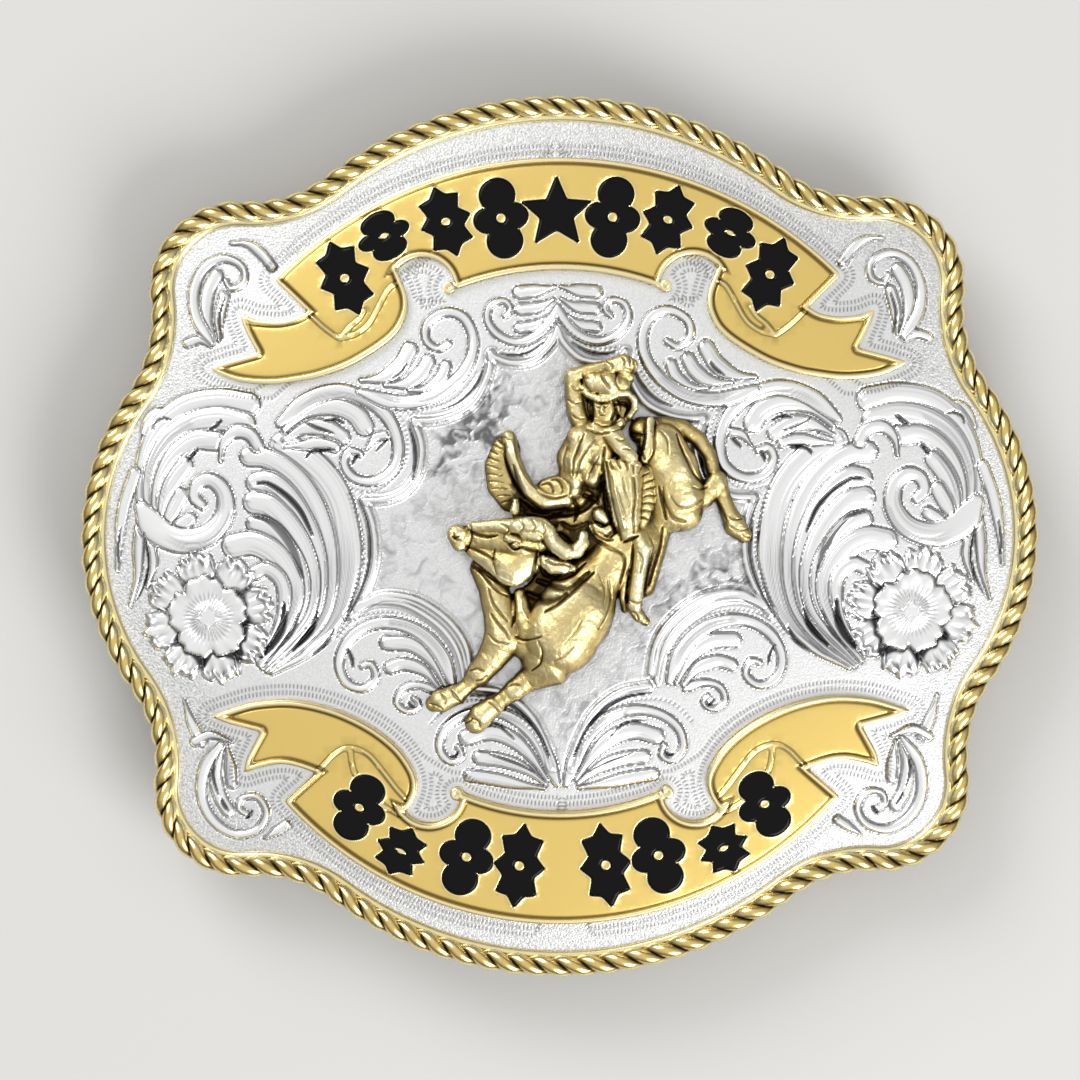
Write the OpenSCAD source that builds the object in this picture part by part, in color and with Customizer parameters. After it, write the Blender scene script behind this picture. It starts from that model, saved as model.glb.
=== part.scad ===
// A western trophy buckle: a domed silver plate with cast scrolls and flowers, a rope edge, two gold
// ribbons with black enamel inlays, a cast bull and rider, and a belt loop and a belt hook behind.
// Millimetres. The buckle lies on its back: +Z is its face, +Y its top, and z = 0 the table.

/* [Outline] */
// Overall width, over the rope edge
buckle_w = 102; // [96:0.5:110]
// Overall height, over the rope edge
buckle_h = 93.7; // [90:0.1:102]
// Radius of the top and bottom arcs
crown_r = 40.6; // [37:0.1:44]
// Radius of the left and right arcs
side_r = 26.9; // [24:0.1:30]
// Radius of the four corner lobes
lobe_r = 9.5; // [8:0.1:11]
// From the widest point in to the middle of a lobe
lobe_in = 17; // [15:0.1:19]
// From the highest point down to the middle of a lobe
lobe_down = 20.3; // [18:0.1:22]
// Radius of the hollow between crown and lobe
crown_neck_r = 12.8; // [10:0.1:16]
// Radius of the hollow between lobe and side
side_neck_r = 13.7; // [11:0.1:17]

/* [Plate] */
// Radius of the dome, at the plate's face
dome_r = 300; // [220:5:400]
// Thickness of the plate
plate_t = 1.6; // [1.2:0.1:2.4]
// Height of the plate's back above the table, at its middle
plate_stand = 10.6; // [9:0.1:13]
// Width of the ledge that the rope sits on
ledge_w = 1.7; // [1.2:0.1:2]
// Depth of that ledge below the plate's face
ledge_drop = 0.9; // [0.5:0.1:1]
// Height of the cast scrolls above the plate's face
scroll_h = 0.45; // [0.2:0.05:0.8]
// Gap between a piece and what it sits on
seat_gap = 0.1; // [0.05:0.05:0.2]

/* [Flowers] */
// Radius of a flower's front petals
flower_r = 4.5; // [3.5:0.1:5]
// Radius of the ring of leaves behind it
calyx_r = 7; // [6:0.1:7.4]
// Radius of its middle
stamen_r = 1.9; // [1.4:0.1:2.4]

/* [Rope edge] */
// Diameter of the twisted wire
rope_d = 2.5; // [2:0.1:2.8]
// Bulges of the twist, all round the edge
rope_bulges = 124; // [100:4:140]

/* [Ribbons] */
// Width of a ribbon's curved band
band_w = 11.9; // [10.5:0.1:12]
// Radius of the top ribbon's upper edge
top_band_r = 42; // [40:0.5:46]
// From the buckle's highest point down to the top ribbon
top_band_drop = 6.8; // [6:0.1:8]
// Half of the angle that the top band spans
top_band_half = 45.7; // [42:0.1:48]
// Radius of the bottom ribbon's lower edge
low_band_r = 39.2; // [37:0.5:43]
// From the buckle's lowest point up to the bottom ribbon
low_band_rise = 5.8; // [5.2:0.1:7]
// Half of the angle that the bottom band spans
low_band_half = 48.6; // [45:0.1:51]
// Thickness of a ribbon
ribbon_t = 0.9; // [0.7:0.1:1.3]
// Width of the raised rim along its edge
rim_w = 0.6; // [0.5:0.1:1]
// Height of that rim
rim_h = 0.25; // [0.1:0.05:0.4]
// Width of the engraved fold lines, which are as deep as the inlays' pockets
fold_w = 0.35; // [0.2:0.05:0.5]
// Radius of the notch under the curl at each fold
notch_r = 3.4; // [3:0.1:4]
// Radius of the knob at the tip of that curl
knob_r = 0.7; // [0.5:0.1:1]

/* [Enamel inlays] */
// Height of the inlays along the band's width
inlay_h = 9.2; // [7.5:0.1:9.6]
// Depth of the pockets in the ribbon
pocket_depth = 0.5; // [0.3:0.05:0.6]
// Height of the enamel above the ribbon
inlay_proud = 0.1; // [0:0.05:0.2]
// Play between an inlay and its pocket
inlay_play = 0.08; // [0.05:0.01:0.15]

/* [Bull and rider] */
// Height of the figure, from the lowest hoof to the raised hand
figure_h = 40; // [36:0.5:42]
// Gap between the figure and the scrolls around it
figure_play = 0.35; // [0.2:0.05:0.6]

/* [Back hardware] */
// Width of the belt that the loop takes
belt_w = 38; // [32:1:42]
// Play of the belt in the loop
belt_play = 2; // [1:0.5:4]
// Diameter of the loop's wire
wire_d = 3; // [2.4:0.1:3.4]
// From the middle of the buckle out to the loop's far bar
bar_out = 33; // [30:0.5:36]
// From the far bar in to the loop's feet
loop_reach = 17; // [14:0.5:20]
// Diameter of the round feet under the plate
foot_d = 6; // [5:0.5:8]
// Thickness of those feet at their rim
foot_t = 1; // [0.8:0.1:1.5]
// Diameter of the belt hook's peg
peg_d = 4; // [3.4:0.1:5]
// From the middle of the buckle out to the peg
peg_out = 28; // [24:0.5:32]

/* [Hidden] */
$fn = 48;
half_w = buckle_w / 2;
half_h = buckle_h / 2;
ball_z = plate_stand + plate_t - dome_r; // height of the dome's centre
ball_fn = 360;
figure_rise = 0.17; // tallest part of the figure above the face, as a share of its height
tall = plate_stand + plate_t + figure_rise * figure_h; // an extrusion this high clears everything
sliver = 0.04; // scraps thinner than twice this are cleaned away
silver = [0.86, 0.86, 0.88];
gold = [0.85, 0.72, 0.36];
old_gold = [0.72, 0.64, 0.36];
black = [0.05, 0.05, 0.06];

// Places on the face are in percent of the half width and of the half height, and the widths of
// strokes in percent of the half height.
function at(p) = [p[0] * half_w / 100, p[1] * half_h / 100];
function across(w) = w * half_h / 100;
function face_z(x, y, h = 0) = ball_z + sqrt(pow(dome_r + h, 2) - x * x - y * y);
function unit(v) = v / max(norm(v), 1e-6);
function left_of(v) = [-v[1], v[0]];

// A smooth line through points, with n steps to each stretch
function spline_point(a, b, c, d, t) =
    0.5 * (2 * b + (c - a) * t + (2 * a - 5 * b + 4 * c - d) * t * t
        + (3 * b - a - 3 * c + d) * t * t * t);
function spline(p, n) = let (last = len(p) - 1) [
    for (i = [0 : last - 1]) for (k = [0 : n - 1])
        spline_point(p[max(i - 1, 0)], p[i], p[i + 1], p[min(i + 2, last)], k / n),
    p[last]];
function heading(q, i) = unit(q[min(i + 1, len(q) - 1)] - q[max(i - 1, 0)]);

// The outline is a chain of arcs, each [centre, radius, first angle, last angle], for one quarter
// from the top to the side, then mirrored. An inset moves the whole chain inwards.
function meet(a, ra, b, rb) = let (d = norm(b - a), u = (b - a) / d,
        s = (ra * ra - rb * rb + d * d) / (2 * d))
    a + s * u + sqrt(ra * ra - s * s) * left_of(u);
function angle_to(a, b) = atan2(b[1] - a[1], b[0] - a[0]);
crown_c = [0, half_h - crown_r];
side_c = [half_w - side_r, 0];
lobe_c = [half_w - lobe_in, half_h - lobe_down];
crown_neck_c = meet(crown_c, crown_r + crown_neck_r, lobe_c, lobe_r + crown_neck_r);
side_neck_c = meet(lobe_c, lobe_r + side_neck_r, side_c, side_r + side_neck_r);
function quarter(inset) = let (
        t1 = angle_to(crown_c, crown_neck_c), t2 = angle_to(lobe_c, crown_neck_c),
        t3 = angle_to(lobe_c, side_neck_c), t4 = angle_to(side_c, side_neck_c)) [
    [crown_c, crown_r - inset, 90, t1],
    [crown_neck_c, crown_neck_r + inset, t1 - 180, t2 - 180],
    [lobe_c, lobe_r - inset, t2, t3],
    [side_neck_c, side_neck_r + inset, t3 + 180, t4 + 180],
    [side_c, side_r - inset, t4, 0]];
function arc_length(a) = a[1] * abs(a[3] - a[2]) * PI / 180;
function sum(v, n) = n <= 0 ? 0 : v[n - 1] + sum(v, n - 1);
// The point at a distance along the arcs, with its outward direction
function along(arcs, lengths, s, i = 0) =
    s <= lengths[i] || i == len(arcs) - 1
    ? let (a = arcs[i], t = a[2] + (a[3] - a[2]) * s / lengths[i], o = [cos(t), sin(t)])
        [a[0] + a[1] * o, i % 2 == 0 ? o : -o]
    : along(arcs, lengths, s - lengths[i], i + 1);
// n points to a quarter, all the way round, each with its outward direction
function ring(inset, n) = let (arcs = quarter(inset), ls = [for (a = arcs) arc_length(a)],
        total = sum(ls, len(ls))) [
    for (q = [0 : 3]) for (k = [0 : n - 1]) let (
            s = (q % 2 == 0 ? k : n - k) * total / n,
            flips = [q < 2 ? 1 : -1, q == 1 || q == 2 ? -1 : 1], p = along(arcs, ls, s))
        [[p[0][0] * flips[0], p[0][1] * flips[1]], [p[1][0] * flips[0], p[1][1] * flips[1]]]];
module outline(inset, n = 36) polygon([for (p = ring(inset, n)) p[0]]);

// The dome at a height above the plate's face, and a prism that ends on it
module ball(h) translate([0, 0, ball_z]) sphere(r = dome_r + h, $fn = ball_fn);
module capped(h) intersection() {
    linear_extrude(height = tall) children();
    ball(h);
}
// A flat shape with its scraps cleaned away, as one clean profile
module clean(grow = 0) offset(delta = sliver + grow) offset(delta = -sliver) children();
module both_sides() {
    children();
    mirror([1, 0, 0]) children();
}
module flipped(down) rotate([0, 0, down ? 180 : 0]) children();

// A stroke along points, w wide at its start and w1 at its round end. A leaf swells after its base.
function leaf_share(u) = 0.35 + 0.65 * sin(90 * min(1, u / 0.65));
module stroke(points, w, w1, leaf = false, steps = 2) {
    q = spline(points, steps);
    last = len(q) - 1;
    half = [for (i = [0 : last]) let (u = i / last)
        across(leaf ? w * leaf_share(u) : w + (w1 - w) * u) / 2];
    side = [for (i = [0 : last]) left_of(heading(q, i)) * half[i]];
    for (i = [0 : last - 1])
        polygon([q[i] + side[i], q[i] - side[i], q[i + 1] - side[i + 1], q[i + 1] + side[i + 1]]);
    translate(q[last]) circle(r = half[last], $fn = 8);
}

// The cast scrolls of the left half. Leaves: [width, base, points, tip].
leaves = [
    [4.6, [-60, -30.5], [-48, -20], [-44.6, -8], [-44.8, 4], [-49, 13.5], [-56.5, 18.5]],
    [3.4, [-60, -30], [-51, -20.5], [-48.3, -8], [-49.4, 4], [-53.5, 12.5], [-61, 17.5]],
    [4, [-61, -29.5], [-53.3, -19], [-51.3, -8], [-53, 1.5], [-57.2, 8.5], [-62.8, 12.4]],
    [3.4, [-61, -29], [-55, -18], [-53.6, -9], [-56, -1], [-59.5, 4.8], [-63, 7.4]],
    [3.2, [-62, -28.5], [-56.7, -19], [-55.5, -10], [-57.5, -3.5], [-61, 0.8], [-64, 2.6]],
    [3.2, [-62.5, -27.5], [-58.2, -19], [-57, -11.5], [-59, -6], [-62.5, -3], [-67.5, -2.8]],
    [4.4, [-86, 6], [-86.6, 16], [-83.4, 24], [-77, 28.6], [-69, 29.8], [-62, 28]],
    [4.2, [-85, 6], [-84.2, 14.5], [-80.8, 20.6], [-75.5, 24.2], [-70, 25], [-65, 23.6]],
    [3.6, [-84, 5], [-82.4, 11.5], [-79.6, 16.8], [-76, 20.2], [-72.6, 21]],
    [3.4, [-87.6, 12], [-90.2, 6], [-91, 0], [-91.2, -4]],
    [3.2, [-58, 21], [-51, 24.6], [-46, 25], [-42.2, 22.6]],
    [2.8, [-57.4, 19.4], [-53, 21], [-49, 21.3], [-46.4, 20.4]],
    [3.6, [-40, 34.4], [-35, 37.2], [-31.6, 41]],
    [3.4, [-36.4, 33.6], [-31, 35.4], [-28, 38.8]],
    [2.8, [-0.9, 56], [-4, 55.2], [-8, 54.8]],
    [2.8, [-1, 53.2], [-4, 51.4], [-7.6, 50.8]],
    [3.6, [-23, -31.5], [-26.5, -26], [-31, -22.8], [-36.5, -23]],
    [3.2, [-4, -52], [-8.5, -47], [-14, -44.6], [-19, -45.2]],
    [2.8, [-5, -53.4], [-10, -50.4], [-16, -49.6]],
    [3, [-71.6, 45], [-73, 51], [-72.6, 56], [-70.8, 60]],
    [3, [-70, -47], [-71.4, -53], [-70.6, -58], [-69, -61.4]]];
// Stems and spirals: [width at the start, width at the end, start, points, end]
stems = [
    [3.6, 1.6, [-85.6, 12], [-84.4, 4.5], [-79.5, -0.4], [-72.5, -1], [-67.4, 3.4], [-66.8, 10],
        [-70.6, 14.8], [-75, 13.6], [-76, 9.4], [-73.6, 6.6]],
    [3.4, 1.4, [-58, 23.6], [-51, 28.8], [-43.4, 29.6], [-37, 25.6], [-35, 19], [-38, 13.6],
        [-42.4, 13], [-44.6, 16.4], [-42.8, 19.4], [-40.6, 18.4]],
    [3.4, 1.4, [-35, 31.6], [-28, 31.6], [-22, 33.6], [-18.4, 39.4], [-18.6, 45.4], [-22.2, 48.6],
        [-26, 46.4], [-25.6, 42.6], [-22.8, 42]],
    [2.6, 1.3, [-0.6, 48.6], [-2.6, 45.6], [-6, 43.6], [-10.2, 43.8], [-13.2, 46.8], [-13.6, 51],
        [-11.6, 53], [-10, 51.4]],
    [3.2, 1.4, [-21.4, -30.6], [-23.8, -24.2], [-28.6, -19.8], [-35, -18.2], [-40.8, -20], [-44.6, -25],
        [-44.6, -31], [-41, -34.2], [-37.4, -32.8], [-37, -28.8], [-39.4, -27.6], [-40.8, -29.6]],
    [1.8, 1.2, [-26, -32.4], [-30.4, -32.6], [-33, -35], [-32, -38], [-29.6, -38], [-29, -35.8]],
    [2.8, 1.3, [-2, -53], [-4.2, -46.4], [-8.8, -41.6], [-15, -39.4], [-21, -40.8], [-24.2, -44.8],
        [-24.2, -49], [-21.8, -50.6], [-20.8, -48.4]],
    [3, 1.4, [-72.4, 44.4], [-75.4, 50], [-75.6, 57], [-72.4, 63], [-67.4, 64.4], [-64, 61],
        [-64.8, 57.6], [-67.4, 58]],
    [3, 1.4, [-71.6, -48], [-73.8, -53], [-73.8, -60], [-70.4, -65], [-65.4, -66], [-62, -62.4],
        [-63.2, -58.6], [-66.2, -59], [-66, -61.8]],
    // the thin raised line that borders the middle field
    [1.3, 1.3, [-34, 28.8], [-31, 25], [-29.2, 19], [-31.4, 12.4], [-36, 8.8], [-39, 8.4], [-38.4, 0],
        [-39.4, -7], [-41.6, -14], [-43.8, -17.8], [-39.6, -14.2], [-33.6, -12.8], [-27.4, -15],
        [-22.4, -20.8], [-19.8, -28]],
    [1.3, 1.3, [-33.4, 28.6], [-26, 27.6], [-19, 30], [-14.6, 36.2], [-13.8, 40.6], [-10.4, 38.6],
        [-6, 38.8], [-2.4, 41.6], [-0.6, 45]],
    [1.3, 1.3, [-1.4, -50], [-3.2, -44.6], [-7.6, -38.6], [-13.6, -35.2], [-19.6, -35], [-23, -36.6]]];

// The figure's limbs are chains of balls, from the body outwards, each [across, up, off the face,
// radius] in percent of the figure's height.
limbs = [
    // barrel, rump and thigh
    [[-3.8, -24, 2, 10.5], [4, -18.8, 2.5, 11.2], [10.5, -8.8, 2.5, 11.2], [17.5, 3.8, 2, 10.2],
        [25.5, 18.6, 1.5, 9.4], [33, 9.6, 1.5, 6.6]],
    // throat and chest
    [[-13.8, -11.2, 3, 5.6], [-13, -20, 3, 6.2], [-13, -27.5, 2.5, 6.4]],
    [[-3, -8, 1.5, 7], [-2, -20, 2, 9]],
    // left foreleg and hoof
    [[-13.5, -28, 2, 5.8], [-21.8, -34, 2, 3.8], [-26, -39, 1.5, 2.6], [-28.6, -41.8, 1.5, 2.9],
        [-32.4, -43, 1.2, 2.9]],
    // right foreleg and hoof
    [[-2.5, -30, 3, 6.6], [-10, -38.6, 2.5, 3.4], [-15.8, -42.6, 2, 2.5], [-18.6, -45.5, 2, 3],
        [-22, -48.6, 1.5, 3.3]],
    // hind leg, hock and hoof
    [[34.4, 10.4, 1.5, 5.8], [41.8, 15.2, 2, 3], [44, 7.5, 1.5, 2.3], [45.8, 2.5, 1.2, 2.1],
        [47.4, -0.4, 1.2, 2.7]],
    // tail
    [[28.6, 26.8, 4, 1.9], [35, 26.4, 2.5, 1.9], [38.8, 22.4, 1.5, 1.8], [39.8, 18, 1.5, 1.7],
        [41.6, 16.6, 2, 2]],
    // head, from the poll to the muzzle, then the jaw
    [[-5.4, 0.6, 8, 4.8], [-11.2, 0.6, 7.6, 4.8], [-20, 0.2, 6, 3.3], [-27, 0, 5, 2.9]],
    [[-9.5, -6.5, 6, 5.3], [-13, -7.4, 6, 5.3], [-20, -4.4, 5.2, 3.4], [-26, -1.6, 4.6, 2.5]],
    // horn and ear
    [[-3.6, -1.4, 10.8, 2.7], [0.6, -3.4, 11.2, 2.5], [4.6, -2.8, 11.2, 2.4], [5.4, 0.4, 10.8, 1.6]],
    [[-4, -7.6, 9, 1.4], [-0.6, -8.2, 9.6, 2.1], [3.4, -8, 9, 1.1]],
    // rider's trunk, head and hat
    [[4.2, 14.8, 7.5, 5], [5.6, 21.2, 8, 5.5], [8.4, 26.4, 8.5, 5]],
    [[10.2, 30.4, 11, 3], [12, 32.8, 12, 3.1]],
    [[10.6, 38.8, 11, 2.8], [15.8, 39.8, 11, 3]],
    [[6.6, 38, 12.2, 1.3], [12, 36, 13.6, 1.6], [18, 35.6, 13.4, 1.6], [20.2, 33.2, 12, 1.2]],
    // raised arm, from the shoulder over the elbow to the hand
    [[4.8, 28.4, 8.5, 2.8], [4.2, 35, 9, 2.5], [4.6, 40.6, 9.5, 2.9], [10, 42.8, 10.5, 2.1],
        [18.4, 43.6, 11, 2.7]],
    // riding arm
    [[13, 26.2, 11.5, 2.6], [19.2, 21.6, 12, 2.3], [15, 17.2, 12.5, 2]],
    // near leg in its chaps, shin and boot
    [[18.4, 15.6, 8, 5.8], [18.8, 7.6, 8.2, 5.7], [19.4, 2, 8, 4.2], [21.4, -3.8, 9, 2.9],
        [20.6, -12.5, 8, 2.5], [20, -18.6, 7.5, 2.3], [22.2, -21.4, 7.2, 1.6]],
    // far leg, raised forward, with its fringe
    [[5.4, 12.4, 7, 4.2], [-2.4, 10.8, 7.5, 3], [-7.2, 14, 7.5, 2.7], [-11, 20.6, 7, 2.3],
        [-12.6, 26, 6.5, 1.8]],
    [[-11, 8.4, 5, 2.4], [-14.8, 14, 4, 3.8], [-16.6, 22, 3.5, 3]],
    // rigging, its strap, and the flank strap
    [[10, 4.8, 9.5, 2.5], [13.4, 0.8, 9.5, 2.5]],
    [[8.6, 0, 12.6, 1.2], [13.8, -3.2, 12.6, 1.2], [17, -6.2, 11.5, 1.2], [17, -10.4, 9.5, 1.2]],
    [[24.2, 29, 7.5, 1.2], [23.4, 21, 10, 1.2]]];
limb_fn = 10;
figure_unit = figure_h / 100;
function place(b) = [b[0], b[1]] * figure_unit;

// The figure's shadow on the face
module figure_shadow(grow) for (limb = limbs) for (i = [0 : len(limb) - 1]) let (
        p = place(limb[i]), r = limb[i][3] * figure_unit + grow) {
    translate(p) circle(r = r, $fn = 16);
    if (i > 0) let (q = place(limb[i - 1]), s = limb[i - 1][3] * figure_unit + grow,
            side = left_of(unit(p - q)))
        polygon([p + side * r, p - side * r, q - side * s, q + side * s]);
}

// A band with a tail folded out from behind it, at each end. A ribbon is [band radius, its gap to
// the buckle's edge, half of its angle, notch centre, knob centre, tail, folds], and its tail and
// folds are in percent for the left half, with the bottom ribbon's turned upside down.
top_tail = [
    [[-33.6, 61.5], [-32.3, 58], [-31.3, 55.2], [-31, 52.4], [-31.5, 49.6], [-33.2, 46.2], [-36.7, 42.9],
        [-43.1, 38.8], [-49, 36.5], [-52.9, 35.6], [-58.8, 34.8], [-64.7, 35.2], [-68.6, 36.3], [-72.9, 38.6]],
    [[-68.4, 40.2], [-62.4, 41.9]],
    [[-63.5, 44], [-65.1, 47.6], [-66.1, 51]],
    [[-62.7, 49.5], [-58.8, 49.1], [-55.9, 49.4], [-52.9, 50.6], [-47, 55.5]]];
top_folds = [
    [[-44.9, 45], [-42.2, 45.7], [-39.2, 48], [-36.9, 52.3], [-34.9, 56.1], [-32.9, 57.4]],
    [[-45.5, 48], [-44.1, 52.3], [-39.2, 57.6], [-34.3, 60.2]],
    [[-52.7, 51.9], [-49, 48], [-46.3, 45.7], [-44.9, 44.8]]];
low_tail = [
    [[-32.5, 62.1], [-30.5, 58.5], [-30, 55], [-31.2, 51.4], [-34.4, 46.8], [-40, 42.2], [-47.4, 38.5],
        [-55.4, 36.6], [-63, 36.9], [-68.4, 38.4], [-72.8, 40.1]],
    [[-68.6, 41.9], [-62.4, 43.6]],
    [[-63.9, 46.5], [-65.4, 49.7], [-66, 52.9]],
    [[-63.2, 51.9], [-59.4, 51], [-55.9, 51.2], [-51.2, 52.9], [-47, 55.5]]];
low_folds = [
    [[-49, 50.8], [-47.1, 48.7], [-44.1, 47.2], [-40.2, 48.7], [-37.3, 52.3], [-34.3, 56.6], [-32.4, 58.9]],
    [[-43.7, 48.2], [-43.1, 52.3], [-41.2, 56.1], [-37.3, 60.2], [-33.7, 62.5]],
    [[-53.4, 55.2], [-51, 53], [-49, 50.8]]];
top_row = [top_band_r, top_band_drop, top_band_half, [-28, 55.9], [-22.5, 56.2], top_tail, top_folds];
low_row = [low_band_r, low_band_rise, low_band_half, [-27.5, 57.4], [-21.8, 57.9], low_tail, low_folds];
function band_c(row) = [0, half_h - row[1] - row[0]];
function on_arc(c, r, t) = c + r * [sin(t), cos(t)];
module ribbon_shape(row) {
    c = band_c(row);
    inner = row[0] - band_w;
    steps = 9; // to each half of the band
    difference() {
        polygon([for (i = [-steps : steps]) on_arc(c, row[0], row[2] * i / steps),
            for (i = [-steps : steps]) on_arc(c, inner, -row[2] * i / steps)]);
        both_sides() translate(at(row[3])) circle(r = notch_r, $fn = 36);
        // the inner edge beyond the notch is where the band turns under
        both_sides() polygon([at(row[3]), on_arc(c, inner + notch_r * 0.6, -row[2] * 0.62),
            on_arc(c, inner + notch_r * 0.6, -row[2] - 2), on_arc(c, inner - 2, -row[2] - 2), at(row[3]) - [0, 4]]);
    }
    both_sides() {
        polygon([for (run = row[5]) each spline([for (p = run) at(p)], 2)]);
        translate(at(row[4])) circle(r = knob_r, $fn = 20);
    }
}
module fold_lines(row) both_sides() for (line = row[6])
    stroke([for (p = line) at(p)], fold_w * 100 / half_h, fold_w * 100 / half_h);

// Inlays are plain ornaments: [kind, angle along the band, lean, height and shift outward as shares of inlay_h]
top_inlays = [["spur", -37.4, -22, 0.9, 0.1], ["clover", -28.4, -26, 0.58, 0.26],
    ["spur", -18.4, -18.4, 0.82, 0.12], ["clover", -9.4, -9.4, 0.96, 0], ["star", 0, 0, 1, 0],
    ["clover", 9.4, 9.4, 0.96, 0], ["spur", 18.4, 18.4, 0.82, 0.12], ["clover", 28.4, 26, 0.58, 0.26],
    ["spur", 37.4, 22, 0.9, 0.1]];
low_inlays = [["clover", 38.8, 26, 0.8, 0.1], ["spur", 28.6, 27, 0.58, 0.26], ["clover", 17.6, 17.6, 0.92, 0.03],
    ["spur", 7.9, 7.9, 0.96, 0], ["spur", -7.9, -7.9, 0.96, 0], ["clover", -17.6, -17.6, 0.92, 0.03],
    ["spur", -28.6, -27, 0.58, 0.26], ["clover", -38.8, -26, 0.8, 0.1]];
spur_points = [[0, 0.5], [0.09, 0.36], [0.23, 0.33], [0.17, 0.13], [0.29, 0], [0.17, -0.13], [0.23, -0.33],
    [0.09, -0.36], [0, -0.5]];
module motif(kind) difference() {
    union() {
        if (kind == "spur") both_sides() polygon(spur_points);
        if (kind == "star") polygon([for (i = [0 : 9]) (i % 2 == 0 ? 0.42 : 0.19) * [sin(36 * i), cos(36 * i)]]);
        if (kind == "clover") {
            for (v = [-1, 1]) translate([0, 0.28 * v]) circle(r = 0.2, $fn = 28);
            both_sides() translate([0.16, 0]) circle(r = 0.15, $fn = 28);
            square([0.2, 0.5], center = true);
        }
    }
    if (kind != "star") circle(r = 0.07, $fn = 16);
}
module placed_motif(row, item, inset = 0) translate(band_c(row)) rotate(-item[1])
    translate([0, row[0] - band_w / 2 + item[4] * inlay_h]) rotate(item[1] - item[2])
    clean(-inset) scale([inlay_h, item[3] * inlay_h]) motif(item[0]);

module ribbon(row, items, down) color(gold) flipped(down) {
    floor_h = seat_gap + ribbon_t - pocket_depth;
    face_h = seat_gap + ribbon_t;
    step_in = 0.03; // each layer stands in from the one below by this
    difference() {
        union() {
            capped(floor_h) clean() ribbon_shape(row);
            capped(face_h) clean() difference() {
                offset(delta = -step_in) ribbon_shape(row);
                fold_lines(row);
                for (item = items) placed_motif(row, item);
            }
            capped(face_h + rim_h) clean() difference() {
                offset(delta = -2 * step_in) ribbon_shape(row);
                offset(delta = -rim_w) ribbon_shape(row);
            }
        }
        ball(seat_gap);
    }
}
module inlay(row, item, down) color(black) flipped(down) difference() {
    capped(seat_gap + ribbon_t + inlay_proud) placed_motif(row, item, inlay_play);
    ball(seat_gap + ribbon_t - pocket_depth + inlay_play);
}

module top_ribbon() ribbon(top_row, top_inlays, false);
module bottom_ribbon() ribbon(low_row, low_inlays, true);
module top_inlay_1() inlay(top_row, top_inlays[0], false);
module top_inlay_2() inlay(top_row, top_inlays[1], false);
module top_inlay_3() inlay(top_row, top_inlays[2], false);
module top_inlay_4() inlay(top_row, top_inlays[3], false);
module top_inlay_5() inlay(top_row, top_inlays[4], false);
module top_inlay_6() inlay(top_row, top_inlays[5], false);
module top_inlay_7() inlay(top_row, top_inlays[6], false);
module top_inlay_8() inlay(top_row, top_inlays[7], false);
module top_inlay_9() inlay(top_row, top_inlays[8], false);
module bottom_inlay_1() inlay(low_row, low_inlays[0], true);
module bottom_inlay_2() inlay(low_row, low_inlays[1], true);
module bottom_inlay_3() inlay(low_row, low_inlays[2], true);
module bottom_inlay_4() inlay(low_row, low_inlays[3], true);
module bottom_inlay_5() inlay(low_row, low_inlays[4], true);
module bottom_inlay_6() inlay(low_row, low_inlays[5], true);
module bottom_inlay_7() inlay(low_row, low_inlays[6], true);
module bottom_inlay_8() inlay(low_row, low_inlays[7], true);

// A round outline with n lobes
function lobed(r, n, dent, turn, steps) = [for (i = [0 : n * steps - 1])
    let (a = 360 * i / (n * steps), s = r * (1 - dent + dent * sqrt(abs(sin(n * a / 2)))))
    s * [cos(a + turn), sin(a + turn)]];
flower_at = [-73, -17.5];
module flower() {
    place = at(flower_at);
    capped(scroll_h) translate(place) polygon(lobed(calyx_r, 11, 0.22, 8, 4));
    capped(2 * scroll_h) translate(place) polygon(lobed(flower_r, 6, 0.25, 25, 6));
    capped(2.7 * scroll_h) translate(place) circle(r = stamen_r);
}
module scroll_half() {
    for (row = leaves) stroke([for (i = [1 : len(row) - 1]) at(row[i])], row[0], row[0], leaf = true);
    for (row = stems) stroke([for (i = [2 : len(row) - 1]) at(row[i])], row[0], row[1]);
}
scroll_play = 0.3; // between the scrolls and the ribbons or flowers
ledge_in = rope_d + seat_gap; // from the buckle's edge in to the plate's face
module scrolls() clean() difference() {
    intersection() {
        both_sides() scroll_half();
        outline(ledge_in + ledge_w / 2);
    }
    figure_shadow(figure_play);
    offset(delta = scroll_play) ribbon_shape(top_row);
    mirror([0, 1, 0]) offset(delta = scroll_play) ribbon_shape(low_row);
    both_sides() translate(at(flower_at)) circle(r = calyx_r + scroll_play);
}
module plate() color(silver) difference() {
    union() {
        capped(0) outline(ledge_in);
        capped(-ledge_drop) outline(ledge_in - ledge_w);
        capped(scroll_h) scrolls();
        both_sides() flower();
    }
    ball(-plate_t);
}

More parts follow.
